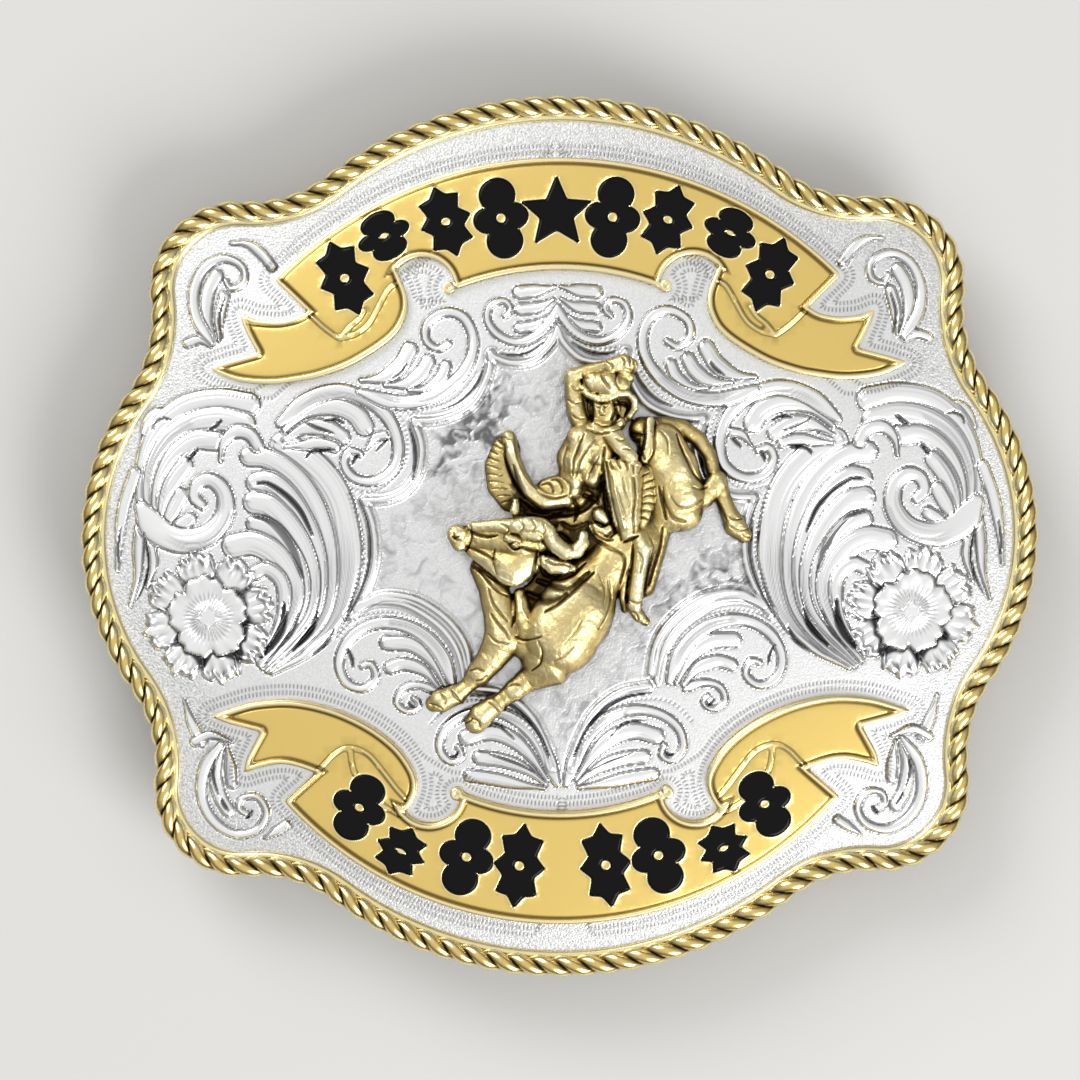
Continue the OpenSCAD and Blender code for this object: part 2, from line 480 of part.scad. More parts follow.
// The rope is two fused strands: a two-lobed section that turns as it goes round
rope_r = rope_d / 2;
rope_sides = 6;
rope_dent = 0.16; // depth of the valley between the strands, as a share of the radius
rings_per_bulge = 3;
rope_lift = rope_r + seat_gap - ledge_drop;
module rope_edge() color(gold) {
    line = ring(rope_r, rope_bulges * rings_per_bulge / 4);
    rings = len(line);
    points = [for (i = [0 : rings - 1]) let (p = line[i][0], o = line[i][1],
            z = face_z(p[0], p[1], rope_lift), turn = -180 * i / rings_per_bulge)
        for (k = [0 : rope_sides - 1]) let (a = 360 * k / rope_sides,
                r = rope_r * (1 - rope_dent * (1 - cos(2 * (a - turn))) / 2))
            [p[0] + r * cos(a) * o[0], p[1] + r * cos(a) * o[1], z + r * sin(a)]];
    faces = [for (i = [0 : rings - 1]) for (k = [0 : rope_sides - 1]) let (j = (i + 1) % rings,
            m = (k + 1) % rope_sides, a = i * rope_sides + k, b = i * rope_sides + m,
            c = j * rope_sides + m, d = j * rope_sides + k)
        each [[a, b, c], [a, c, d]]];
    polyhedron(points, faces);
}

// The figure stands on the dome, each limb filled down to its back
module limb_ball(b) let (p = place(b), r = b[3] * figure_unit, z = face_z(p[0], p[1]) + b[2] * figure_unit) {
    translate([p[0], p[1], z]) sphere(r = r, $fn = limb_fn);
    translate([p[0], p[1], plate_stand]) cylinder(r = r, h = z - plate_stand, $fn = limb_fn);
}
module bull_and_rider() color(old_gold) difference() {
    union() for (limb = limbs) for (i = [1 : len(limb) - 1]) hull() {
        limb_ball(limb[i - 1]);
        limb_ball(limb[i]);
    }
    // turned on its side, so that the ball's flat facets under the figure are few
    translate([0, 0, ball_z]) rotate([90, 0, 0]) sphere(r = dome_r + seat_gap, $fn = 270);
}

// The belt loop is one bent wire on two round feet, tilted so that its bar rests on the table
wire_r = wire_d / 2;
loop_inner = belt_w + belt_play;
bend_r = wire_d * 1.2; // of the wire's middle line, at the two corners
loop_half = loop_inner / 2 + wire_r;
back_h = -plate_t - seat_gap; // the plate's back, less the gap
foot_x = -bar_out + loop_reach;
arm_z = face_z(foot_x, loop_half, back_h) - foot_t - wire_r * 0.4; // the wire's middle at a foot
loop_tilt = atan2(arm_z - wire_r, loop_reach);
arm_l = norm([arm_z - wire_r, loop_reach]);
module foot(x, y) intersection() {
    translate([x, y, face_z(norm([x, y]) + foot_d / 2, 0, back_h) - foot_t]) cylinder(d = foot_d, h = 3 * foot_t);
    ball(back_h);
}
module belt_loop() color(gold) {
    translate([-bar_out, 0, wire_r]) rotate([0, -loop_tilt, 0]) for (v = [0, 1]) mirror([0, v, 0]) {
        rotate([-90, 0, 0]) cylinder(r = wire_r, h = loop_half - bend_r);
        translate([bend_r, loop_half - bend_r, 0]) rotate([0, 0, 90])
            rotate_extrude(angle = 90) translate([bend_r, 0]) circle(r = wire_r);
        translate([bend_r, loop_half, 0]) rotate([0, 90, 0]) cylinder(r = wire_r, h = arm_l - bend_r);
    }
    for (v = [-1, 1]) foot(foot_x, v * loop_half);
}

// The belt hook is a straight peg with a rounded tip
peg_tip = 0.6; // rounding of the tip
module belt_hook() color(gold) {
    foot(peg_out, 0);
    translate([peg_out, 0, 0]) rotate_extrude() {
        square([peg_d / 2 - peg_tip, peg_tip]);
        translate([0, peg_tip]) square([peg_d / 2, face_z(peg_out + foot_d / 2, 0, back_h) - foot_t / 2 - peg_tip]);
        translate([peg_d / 2 - peg_tip, peg_tip]) circle(r = peg_tip);
    }
}

plate();
rope_edge();
top_ribbon();
bottom_ribbon();
top_inlay_1();
top_inlay_2();
top_inlay_3();
top_inlay_4();
top_inlay_5();
top_inlay_6();
top_inlay_7();
top_inlay_8();
top_inlay_9();
bottom_inlay_1();
bottom_inlay_2();
bottom_inlay_3();
bottom_inlay_4();
bottom_inlay_5();
bottom_inlay_6();
bottom_inlay_7();
bottom_inlay_8();
bull_and_rider();
belt_loop();
belt_hook();
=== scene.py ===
import math
import time

import bpy
import numpy as np
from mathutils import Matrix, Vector
from mathutils.geometry import delaunay_2d_cdt


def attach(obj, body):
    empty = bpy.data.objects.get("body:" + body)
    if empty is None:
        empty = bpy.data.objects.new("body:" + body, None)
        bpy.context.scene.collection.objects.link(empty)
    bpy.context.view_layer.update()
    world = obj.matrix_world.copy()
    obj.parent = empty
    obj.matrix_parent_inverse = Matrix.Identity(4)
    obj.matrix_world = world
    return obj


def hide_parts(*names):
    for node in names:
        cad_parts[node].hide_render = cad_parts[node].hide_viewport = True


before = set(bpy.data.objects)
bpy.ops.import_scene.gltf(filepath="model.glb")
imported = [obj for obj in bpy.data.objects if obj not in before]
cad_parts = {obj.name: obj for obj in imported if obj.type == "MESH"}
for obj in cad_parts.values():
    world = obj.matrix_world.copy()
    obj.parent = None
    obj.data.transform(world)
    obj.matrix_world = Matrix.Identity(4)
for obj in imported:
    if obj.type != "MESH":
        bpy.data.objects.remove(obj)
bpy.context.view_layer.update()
started = time.time()


def stage(text):
    print(f"{time.time() - started:6.1f} s  {text}", flush=True)


# Sizes of the buckle, in millimetres, as in the CAD part
size = {
    "width": 102.0, "height": 93.7,
    "crownR": 40.6, "sideR": 26.9, "lobeR": 9.5, "lobeIn": 17.0, "lobeDown": 20.3,
    "crownNeckR": 12.8, "sideNeckR": 13.7,
    "domeR": 300.0, "plateT": 1.6, "stand": 10.6,
    "ropeD": 2.5, "gap": 0.1,
}
halfW, halfH = size["width"] / 2, size["height"] / 2
ballZ = size["stand"] + size["plateT"] - size["domeR"]
ledgeIn = size["ropeD"] + size["gap"]


# A run of x, y in percent of the half width and half height, as points in millimetres
def at(run):
    return np.reshape(run, (-1, 2)) * [halfW / 100, halfH / 100]


def faceZ(x, y):
    return ballZ + np.sqrt(size["domeR"] ** 2 - x * x - y * y)


# Rows of numbers, each as a direction of length 1
def unit(rows):
    return rows / np.linalg.norm(rows, axis=1)[:, None]


# Points over the dome at height h above the plate's face, measured along the dome's normal
def onDome(xy, h):
    xy = np.asarray(xy, float)
    z = faceZ(xy[:, 0], xy[:, 1])
    n = np.column_stack([xy, z - ballZ]) / size["domeR"]
    return np.column_stack([xy, z]) + n * np.broadcast_to(h, len(xy))[:, None]


# A smooth line through points, evenly resampled at about that step
def spline(points, step):
    p = np.asarray(points, float)
    if len(p) < 3:
        n = max(2, int(np.hypot(*(p[-1] - p[0])) / step))
        return p[0] + (p[-1] - p[0]) * np.linspace(0, 1, n)[:, None]
    q = np.vstack([2 * p[0] - p[1], p, 2 * p[-1] - p[-2]])
    t = np.linspace(0, 1, 9)[:-1, None]
    out = []
    for a, b, c, d in zip(q[:-3], q[1:-2], q[2:-1], q[3:]):
        out.append(0.5 * (2 * b + (c - a) * t + (2 * a - 5 * b + 4 * c - d) * t ** 2
                          + (3 * b - a - 3 * c + d) * t ** 3))
    return resample(np.vstack(out + [p[-1:]]), step)


def resample(line, step, closed=False):
    if closed:
        line = np.vstack([line, line[:1]])
    s = np.concatenate([[0], np.cumsum(np.hypot(*np.diff(line, axis=0).T[:2]))])
    n = max(2, int(round(s[-1] / step)) + 1)
    u = np.linspace(0, s[-1], n)
    out = np.column_stack([np.interp(u, s, line[:, k]) for k in range(line.shape[1])])
    return out[:-1] if closed else out


# Distance from points to a line, its share along it, and the side (left is positive)
def lineDistance(px, py, line):
    best = np.full(px.shape, 1e9)
    share = np.zeros(px.shape)
    side = np.zeros(px.shape)
    n = len(line) - 1
    for i in range(n):
        (ax, ay), (bx, by) = line[i], line[i + 1]
        dx, dy = bx - ax, by - ay
        k = dx * dx + dy * dy
        if k < 1e-12:
            continue
        t = np.clip(((px - ax) * dx + (py - ay) * dy) / k, 0, 1)
        ex, ey = px - ax - t * dx, py - ay - t * dy
        d = ex * ex + ey * ey
        near = d < best
        best = np.where(near, d, best)
        share = np.where(near, (i + t) / n, share)
        side = np.where(near, np.sign(dx * ey - dy * ex), side)
    return np.sqrt(best), share, side


def smooth(a, b, x):
    t = np.clip((x - a) / (b - a), 0, 1)
    return t * t * (3 - 2 * t)


# A mesh object from millimetre points and a list of arrays of triangles or quads
def makeMesh(name, verts, faces, attributes=None, normals=None):
    mesh = bpy.data.meshes.new(name)
    verts = np.asarray(verts, np.float32) * 0.001
    faces = [np.asarray(f, np.int32) for f in faces if len(f)]
    corners = np.concatenate([f.ravel() for f in faces])
    totals = np.concatenate([np.full(len(f), f.shape[1], np.int32) for f in faces])
    starts = np.concatenate([[0], np.cumsum(totals)[:-1]]).astype(np.int32)
    mesh.vertices.add(len(verts))
    mesh.vertices.foreach_set("co", verts.ravel())
    mesh.loops.add(len(corners))
    mesh.loops.foreach_set("vertex_index", corners)
    mesh.polygons.add(len(totals))
    mesh.polygons.foreach_set("loop_start", starts)
    mesh.polygons.foreach_set("loop_total", totals)
    mesh.polygons.foreach_set("use_smooth", np.ones(len(totals), bool))
    for key, values in (attributes or {}).items():
        mesh.attributes.new(key, "FLOAT", "POINT").data.foreach_set("value", np.asarray(values, np.float32))
    mesh.update(calc_edges=True)
    mesh.validate()
    if normals is not None:
        mesh.normals_split_custom_set_from_vertices(np.asarray(normals, float))
    obj = bpy.data.objects.new(name, mesh)
    bpy.context.scene.collection.objects.link(obj)
    return obj


# Loops of points as one array, and each loop's own places in it
def numbered(loops):
    ends = np.cumsum([len(loop) for loop in loops])
    return np.vstack(loops), [list(range(end - len(loop), end)) for loop, end in zip(loops, ends)]


# Quads between rings of m points each; closed joins the last ring to the first
def ringQuads(count, m, closed=False):
    k = np.arange(m)
    after = (k + 1) % m
    pairs = [(i * m, (i + 1) % count * m) for i in range(count if closed else count - 1)]
    return np.vstack([np.column_stack([a + k, b + k, b + after, a + after]) for a, b in pairs])


# The grid points that belong to the cells of a mask, and the cells as quads of them
def gridQuads(cell, shape):
    used = np.zeros(shape, bool)
    for a, b in ((0, 0), (0, 1), (1, 0), (1, 1)):
        used[a:shape[0] - 1 + a, b:shape[1] - 1 + b] |= cell
    ids = -np.ones(shape, np.int64)
    ids[used] = np.arange(used.sum())
    corners = (ids[:-1, :-1], ids[:-1, 1:], ids[1:, 1:], ids[1:, :-1])
    return used, np.column_stack([corner[cell] for corner in corners])


# The part of a grid that holds these points with a margin round them
def gridWindow(xs, ys, points, margin):
    lo, hi = points.min(0) - margin, points.max(0) + margin
    return slice(*np.searchsorted(ys, [lo[1], hi[1]])), slice(*np.searchsorted(xs, [lo[0], hi[0]]))


# Triangles of the plane inside closed loops of points, with free points among them
def cdt(points, loops, inner=None):
    pts = [Vector((float(x), float(y))) for x, y in points]
    edges = []
    for loop in loops:
        edges += [(int(loop[i]), int(loop[(i + 1) % len(loop)])) for i in range(len(loop))]
    res = delaunay_2d_cdt(pts, edges, [], 1, 1e-7)
    xy = np.array([[p.x, p.y] for p in res[0]])
    tri = np.array(res[2], np.int32).reshape(-1, 3)
    origin = np.array([o[0] if len(o) else -1 for o in res[3]])
    a, b, c = xy[tri[:, 0]], xy[tri[:, 1]], xy[tri[:, 2]]
    turn = (b[:, 0] - a[:, 0]) * (c[:, 1] - a[:, 1]) - (b[:, 1] - a[:, 1]) * (c[:, 0] - a[:, 0])
    tri[turn < 0] = tri[turn < 0][:, ::-1]
    if inner is not None:
        mid = (a + b + c) / 3
        tri = tri[inner(mid[:, 0], mid[:, 1])]
    return xy, tri, origin


# Closed loops of the open edges of a triangle or quad mesh
def boundaryLoops(tri):
    n = tri.shape[1]
    e = np.vstack([tri[:, [i, (i + 1) % n]] for i in range(n)])
    key = e[:, 0].astype(np.int64) * (e.max() + 1) + e[:, 1]
    back = e[:, 1].astype(np.int64) * (e.max() + 1) + e[:, 0]
    e = e[~np.isin(key, back)]
    nxt = {}
    for a, b in e:
        nxt.setdefault(int(a), []).append(int(b))
    loops = []
    while nxt:
        a = start = next(iter(nxt))
        loop = []
        while True:
            loop.append(a)
            b = nxt[a].pop()
            if not nxt[a]:
                del nxt[a]
            a = b
            if a == start or a not in nxt:
                break
        loops.append(loop)
    return loops


# Closes a sheet over the dome: walls down from its open edges, and a plain back
def closeDown(xy, top, tri, bottomH, attributes=None):
    loops = boundaryLoops(tri)
    rim = np.concatenate(loops)
    base = len(xy)
    walls, k, rimIds = [], 0, []
    for loop in loops:
        m = len(loop)
        ids, after = np.arange(m), (np.arange(m) + 1) % m
        a = np.array(loop)
        walls.append(np.column_stack([a, base + k + ids, base + k + after, a[after]]))
        rimIds.append(list(range(k, k + m)))
        k += m
    flat, back, origin = cdt(xy[rim], rimIds)
    # keep only triangles inside by the even-odd rule on the rim's loops
    middle = flat[back].mean(1)
    inside = np.zeros(len(middle), bool)
    for ids in rimIds:
        inside ^= inPolygon(middle, xy[rim][ids])
    back = back[inside & np.all(origin[back] >= 0, axis=1)]
    verts = np.vstack([onDome(xy, top), onDome(xy[rim], bottomH)])
    shades = {key: np.concatenate([v, np.asarray(v)[rim]]) for key, v in (attributes or {}).items()}
    return verts, [tri, np.vstack(walls), base + origin[back][:, ::-1]], shades


# Normals of a sheet's own points, and straight down for the points of its back
def sheetNormals(verts, faces):
    a, b, c = verts[faces[:, 0]], verts[faces[:, 1]], verts[faces[:, 2]]
    n = np.cross(b - a, c - a)
    out = np.zeros_like(verts)
    for k in range(3):
        for corner in range(faces.shape[1]):
            out[:, k] += np.bincount(faces[:, corner], n[:, k], len(verts))
    bare = np.linalg.norm(out, axis=1) < 1e-12
    out[bare] = [0, 0, -1]
    return unit(out)


def inPolygon(p, poly):
    inside = np.zeros(len(p), bool)
    x, y = p[:, 0], p[:, 1]
    a, b = poly, np.roll(poly, -1, axis=0)
    for (ax, ay), (bx, by) in zip(a, b):
        if ay == by:
            continue
        hit = ((ay > y) != (by > y)) & (x < (bx - ax) * (y - ay) / (by - ay) + ax)
        inside ^= hit
    return inside


# The outline is a chain of tangent arcs for one quarter, mirrored.
# Where two circles meet, on the left of the way from the first to the second
def meet(a, ra, b, rb):
    d = np.hypot(*(b - a))
    u = (b - a) / d
    s = (ra * ra - rb * rb + d * d) / (2 * d)
    return a + s * u + math.sqrt(ra * ra - s * s) * np.array([-u[1], u[0]])


crownC = np.array([0, halfH - size["crownR"]])
sideC = np.array([halfW - size["sideR"], 0])
lobeC = np.array([halfW - size["lobeIn"], halfH - size["lobeDown"]])
crownNeckC = meet(crownC, size["crownR"] + size["crownNeckR"],
                  lobeC, size["lobeR"] + size["crownNeckR"])
sideNeckC = meet(lobeC, size["lobeR"] + size["sideNeckR"],
                 sideC, size["sideR"] + size["sideNeckR"])


# The quarter's arcs: [centre, radius, first angle, last angle, 1 where it bulges and -1 where it is hollow]
def quarter(inset):
    ang = lambda a, b: math.atan2(b[1] - a[1], b[0] - a[0])
    t1, t2 = ang(crownC, crownNeckC), ang(lobeC, crownNeckC)
    t3, t4 = ang(lobeC, sideNeckC), ang(sideC, sideNeckC)
    pi = math.pi
    return [(crownC, size["crownR"] - inset, pi / 2, t1, 1),
            (crownNeckC, size["crownNeckR"] + inset, t1 - pi, t2 - pi, -1),
            (lobeC, size["lobeR"] - inset, t2, t3, 1),
            (sideNeckC, size["sideNeckR"] + inset, t3 + pi, t4 + pi, -1),
            (sideC, size["sideR"] - inset, t4, 0.0, 1)]


# Points all the way round, n to a quarter, clockwise from the top, and their outward directions
def ring(inset, n):
    arcs = quarter(inset)
    lengths = np.array([r * abs(b - a) for _, r, a, b, _ in arcs])
    ends = np.cumsum(lengths)
    pts, outs = [], []
    for q in range(4):
        for k in range(n):
            s = (k if q % 2 == 0 else n - k) * ends[-1] / n
            i = min(int(np.searchsorted(ends, s)), 4)
            c, r, a, b, sign = arcs[i]
            t = a + (b - a) * (s - ends[i] + lengths[i]) / lengths[i]
            o = np.array([math.cos(t), math.sin(t)])
            f = np.array([1 if q < 2 else -1, -1 if q in (1, 2) else 1])
            pts.append((c + r * o) * f)
            outs.append(o * sign * f)
    return np.array(pts), np.array(outs)


# How far inside the buckle's outline a point lies
def edgeInset(px, py):
    d = np.full(px.shape, -1e9)
    ax, ay = np.abs(px), np.abs(py)
    arcs = quarter(0)
    # the sector that each arc rules, by the angle seen from its own centre
    best = np.full(px.shape, 1e9)
    for c, r, a, b, sign in arcs:
        vx, vy = ax - c[0], ay - c[1]
        dist = np.hypot(vx, vy)
        ang = np.arctan2(vy, vx)
        lo, hi = min(a, b), max(a, b)
        mid = (lo + hi) / 2
        turn = (ang - mid + math.pi) % (2 * math.pi) - math.pi
        ok = np.abs(turn) <= (hi - lo) / 2 + 1e-6
        inset = sign * (r - dist)
        better = ok & (np.abs(inset) < best)
        d = np.where(better, inset, d)
        best = np.where(better, np.abs(inset), best)
    # the middle, which no arc rules, counts as deep inside
    return np.where(best > 1e8, 20.0, d)


# Ribbons, as in the CAD part. A band has an outer radius, a drop from the buckle's edge and a half angle;
# r and drop are mm, half is degrees, and what else is drawn is in percent, for the left end.
bandW, notchR, knobR = 11.9, 3.4, 0.7
topTail = [
    [-33.6, 61.5, -32.3, 58, -31.3, 55.2, -31, 52.4, -31.5, 49.6, -33.2, 46.2, -36.7, 42.9, -43.1, 38.8,
     -49, 36.5, -52.9, 35.6, -58.8, 34.8, -64.7, 35.2, -68.6, 36.3, -72.9, 38.6],
    [-68.4, 40.2, -62.4, 41.9],
    [-63.5, 44, -65.1, 47.6, -66.1, 51],
    [-62.7, 49.5, -58.8, 49.1, -55.9, 49.4, -52.9, 50.6, -47, 55.5],
]
lowTail = [
    [-32.5, 62.1, -30.5, 58.5, -30, 55, -31.2, 51.4, -34.4, 46.8, -40, 42.2, -47.4, 38.5, -55.4, 36.6,
     -63, 36.9, -68.4, 38.4, -72.8, 40.1],
    [-68.6, 41.9, -62.4, 43.6],
    [-63.9, 46.5, -65.4, 49.7, -66, 52.9],
    [-63.2, 51.9, -59.4, 51, -55.9, 51.2, -51.2, 52.9, -47, 55.5],
]
topFolds = [
    [-44.9, 45, -42.2, 45.7, -39.2, 48, -36.9, 52.3, -34.9, 56.1, -32.9, 57.4],
    [-44.9, 45, -43.2, 47.4, -41.2, 49.2, -40, 51.2],
    [-56.5, 56, -52.7, 51.9, -49, 48, -46.3, 45.7, -44.9, 44.8],
]
lowFolds = [
    [-49, 50.8, -47.1, 48.7, -44.1, 47.2, -40.2, 48.7, -37.3, 52.3, -34.3, 56.6, -32.4, 58.9],
    [-43.7, 48.2, -43.1, 52.3, -41.2, 56.1, -37.3, 60.2, -33.7, 62.5],
    [-56.5, 58, -53.4, 55.2, -51, 53, -49, 50.8],
]
ribbons = {
    "top": {"r": 42.0, "drop": 6.8, "half": 45.7, "notch": [-28, 55.9], "knob": [-22.5, 56.2],
            "tail": topTail, "folds": topFolds, "down": 1},
    "bottom": {"r": 39.2, "drop": 5.8, "half": 48.6, "notch": [-27.5, 57.4], "knob": [-21.8, 57.9],
               "tail": lowTail, "folds": lowFolds, "down": -1}}


def onArc(c, r, t):
    return np.array([c[0] + r * math.sin(math.radians(t)), c[1] + r * math.cos(math.radians(t))])


# Distance to a closed polygon, positive inside
def signedPolygon(px, py, poly):
    d, _, _ = lineDistance(px, py, np.vstack([poly, poly[:1]]))
    inside = inPolygon(np.column_stack([px.ravel(), py.ravel()]), poly).reshape(px.shape)
    return np.where(inside, d, -d)


# How far inside the ribbon's shape a point lies, drawn for the top ribbon's way up
def ribbonField(row, px, py):
    px = -np.abs(px)
    py = py * row["down"]
    c = np.array([0, halfH - row["drop"] - row["r"]])
    inner = row["r"] - bandW
    ang = [-row["half"] * i / 30 for i in range(31)]
    band = np.vstack([[onArc(c, row["r"], t) for t in ang], [onArc(c, inner, t) for t in ang[::-1]]])
    band = np.vstack([band, [[6, band[-1][1]], [6, band[0][1]]]])
    d = signedPolygon(px, py, band)
    # close to the middle the band's own arcs are exact
    rr = np.hypot(px - c[0], py - c[1])
    dArc = np.minimum(row["r"] - rr, rr - inner)
    d = np.where((px > -8) & (py > 0), dArc, d)
    notch, knob = at(row["notch"])[0], at(row["knob"])[0]
    d = np.minimum(d, np.hypot(px - notch[0], py - notch[1]) - notchR)
    cut = np.array([notch, onArc(c, inner + notchR * 0.6, -row["half"] * 0.62),
                    onArc(c, inner + notchR * 0.6, -row["half"] - 2), onArc(c, inner - 2, -row["half"] - 2),
                    notch - [0, 4]])
    d = np.minimum(d, -signedPolygon(px, py, cut))
    # a run of two points is a straight edge
    tail = np.vstack([spline(at(run), 0.4) if len(run) > 4 else at(run) for run in row["tail"]])
    d = np.maximum(d, signedPolygon(px, py, tail))
    return np.maximum(d, knobR - np.hypot(px - knob[0], py - knob[1]))


# Closed lines where a grid of values crosses a level, with the higher values on their left
def contour(field, x0, y0, step, level):
    f = field - level
    f = np.where(np.abs(f) < 1e-9, 1e-9, f)
    s = f > 0
    code = s[:-1, :-1] * 1 + s[:-1, 1:] * 2 + s[1:, 1:] * 4 + s[1:, :-1] * 8
    rows, cols = np.nonzero((code > 0) & (code < 15))
    # the crossed edges of a cell, by its corners' code, entered and left with the high side to the left
    paths = {1: [(3, 0)], 2: [(0, 1)], 3: [(3, 1)], 4: [(1, 2)], 5: [(3, 2), (1, 0)], 6: [(0, 2)],
             7: [(3, 2)], 8: [(2, 3)], 9: [(2, 0)], 10: [(0, 3), (2, 1)], 11: [(2, 1)], 12: [(1, 3)],
             13: [(1, 0)], 14: [(0, 3)]}

    def edge(i, j, k):
        return [(i, j, 0), (i, j + 1, 1), (i + 1, j, 0), (i, j, 1)][k]

    follow = {}
    for i, j in zip(rows.tolist(), cols.tolist()):
        for a, b in paths[int(code[i, j])]:
            follow[edge(i, j, a)] = edge(i, j, b)

    def point(e):
        i, j, k = e
        a = f[i, j]
        b = f[i, j + 1] if k == 0 else f[i + 1, j]
        t = a / (a - b)
        return (x0 + (j + (t if k == 0 else 0)) * step, y0 + (i + (t if k == 1 else 0)) * step)

    loops = []
    while follow:
        start, e = next(iter(follow.items()))
        del follow[start]
        loop = [point(start)]
        while e != start and e in follow:
            loop.append(point(e))
            e = follow.pop(e)
        if len(loop) > 8:
            loops.append(np.array(loop))
    return loops


def smoothLoop(loop, step, rounds=1):
    q = resample(loop, step, closed=True)
    for _ in range(rounds):
        q = 0.25 * np.roll(q, 1, 0) + 0.5 * q + 0.25 * np.roll(q, -1, 0)
    return q


# The relief. In its tables x and y are percent of the half width and half height, on the left half.
relief = {
    "step": 0.135,          # mm between the relief's grid points
    "quickStep": 0.27,
    "leafGain": 1.16,       # how much wider the leaves are than the table says
    "ribTop": 0.38,         # mm, a leaf's ridge above the ground
    "ribBase": 0.12,        # mm, a leaf's edge above the ground
    "outline": 0.16,        # mm, depth of the line round each leaf
    "outlineW": 0.10,       # mm, half width of that line
    "tickPitch": 0.40,      # mm between the ticks along the ribbons
    "underStem": 18,        # leaves, from the first, that lie under the first stem
    "floor": -0.32,         # mm, as deep as any cut goes
    "under": -0.35,         # mm, the closed underside of the relief
    "ribbonCover": 0.3,     # mm that the relief reaches in under the ribbons
}
# Leaves: [width, then x, y from base to tip]; each lies over the ones before it
leafRows = [
    # the tall plume
    [5.2, -60, -30, -53, -26, -47.5, -20, -45, -13, -43.8, -6, -44.2, 1, -45.5, 8, -48.5, 13.8, -53, 18.4,
     -57.4, 21],
    [3.8, -61, -30, -54.5, -25, -49.8, -18.5, -48, -12, -48, -5, -49, 2, -51, 8, -54, 13, -57.5, 16.4,
     -61, 18.3, -64.4, 18.6],
    [4.0, -61.5, -29.5, -56, -24, -51.8, -18, -50.4, -12, -50.6, -5, -52, 0.8, -54.5, 6.5, -57.5, 10.8,
     -60.5, 13, -63, 12.6],
    [4.4, -62, -29, -57, -23.5, -53, -17.5, -52, -12, -52.6, -6, -54.5, -0.4, -57.5, 4.3, -60.5, 7.4,
     -63.4, 8.2],
    [3.4, -62, -28.5, -57.5, -22, -54.4, -16.5, -53.6, -11, -54.6, -6, -57, -1.5, -60, 2, -63.4, 3.4],
    [4.6, -62.5, -28.5, -58.5, -22.5, -56, -16.5, -55.5, -11.5, -57, -7, -60, -3, -64, -1, -67.8, -1.6],
    [2.8, -61, -24, -58, -17.5, -57.4, -12, -58.6, -8.6, -61.2, -6.8, -63.4, -7.8],
    # the big scroll at the side
    [2.0, -86.4, 20, -86.2, 25, -84, 28.6, -80.6, 28.6],
    [4.6, -85.4, 0, -87, 8, -86.4, 17, -83.4, 24.5, -78, 29.8, -71, 31.4, -64.5, 30.4],
    [4.4, -84.6, 1, -85.6, 9, -84.4, 16.6, -81, 22.6, -76, 26.2, -70.4, 27.2, -65.4, 26],
    [3.8, -83.8, 1.5, -84, 9, -82.2, 15.4, -79, 20, -75.4, 22.4, -71.2, 22.2],
    [3.4, -83, 2, -82.4, 8, -80.6, 13, -78, 16.8],
    [3.0, -82.4, 2, -80.8, 6, -78.8, 10],
    [2.6, -81.4, 0.6, -79, 3, -76.8, 4.6],
    [2.6, -70.4, 17.6, -69.8, 21.6, -67.4, 24.2, -64.2, 23.6, -62.6, 21],
    [2.4, -92.2, -7, -91.8, 0, -90.6, 8, -88.4, 15],
    [2.2, -89.6, -15, -88, -8, -87.8, -1, -86.8, 6],
    [2.0, -86, -11, -84.8, -5.6, -85.4, 0],
    # the scroll that meets the middle field
    [3.8, -57, 24.4, -52.5, 28.6, -47, 30, -42.4, 28.2, -40.4, 25.2],
    [3.2, -57, 22.4, -52.6, 24.8, -48.4, 25, -45, 22.8],
    [2.4, -56.8, 20.6, -53, 21, -49.6, 21.4, -46.6, 20.6],
    [1.8, -40, 20, -38, 22.6, -35.4, 23.2],
    # the upper inner scroll
    [3.2, -41, 35.6, -36.4, 36.2, -32.8, 38.8, -30.8, 42.4],
    [2.8, -36, 34.4, -31.4, 34.8, -28.4, 37.2, -27, 39.8],
    [2.4, -31, 33.2, -27, 33.6, -24.4, 36, -23.4, 38.6],
    # the pair at the top
    [2.6, -0.6, 56.4, -4, 55.6, -8, 55.2],
    [2.4, -0.8, 53.6, -4, 51.8, -7.8, 51.4],
    [2.2, -1.2, 50.6, -4, 48, -8, 47.2],
    # the lower inner scroll
    [3.0, -24, -33.6, -27, -27.4, -31, -24.2, -36, -23.8],
    [2.6, -25.4, -34, -28.4, -30.2, -32.4, -28.6, -35.4, -29.4],
    # the palmette at the bottom
    [3.2, -3, -55, -7, -49, -11, -45.4, -15.4, -44.2, -19.6, -45.4],
    [2.8, -3.4, -56, -8, -52.4, -12.4, -50.6, -17, -50],
    [2.6, -3.6, -57, -9, -56, -14, -54.8, -19, -54],
    # the corners
    [2.6, -71.4, 45, -73.2, 51, -72.8, 56, -71, 59.8],
    [2.2, -70.6, 45, -70.4, 50.6, -69.4, 55],
    [1.8, -72.4, 43.6, -74.6, 45.2, -77.2, 44.4],
    [2.0, -68, 67, -64.4, 66.8, -61.6, 64.6, -59.4, 61.6],
    [2.6, -70.4, -47, -72, -53, -71.4, -58, -69.6, -61.6],
    [2.2, -69.6, -47, -69, -51.6, -68.8, -55.4],
    [2.0, -78.4, -36.6, -77, -41.6, -75, -46],
    [1.8, -68.6, -46, -73, -44.4, -76.4, -46],
    [1.8, -62, -68, -59.4, -66.2, -57.4, -64.8],
]
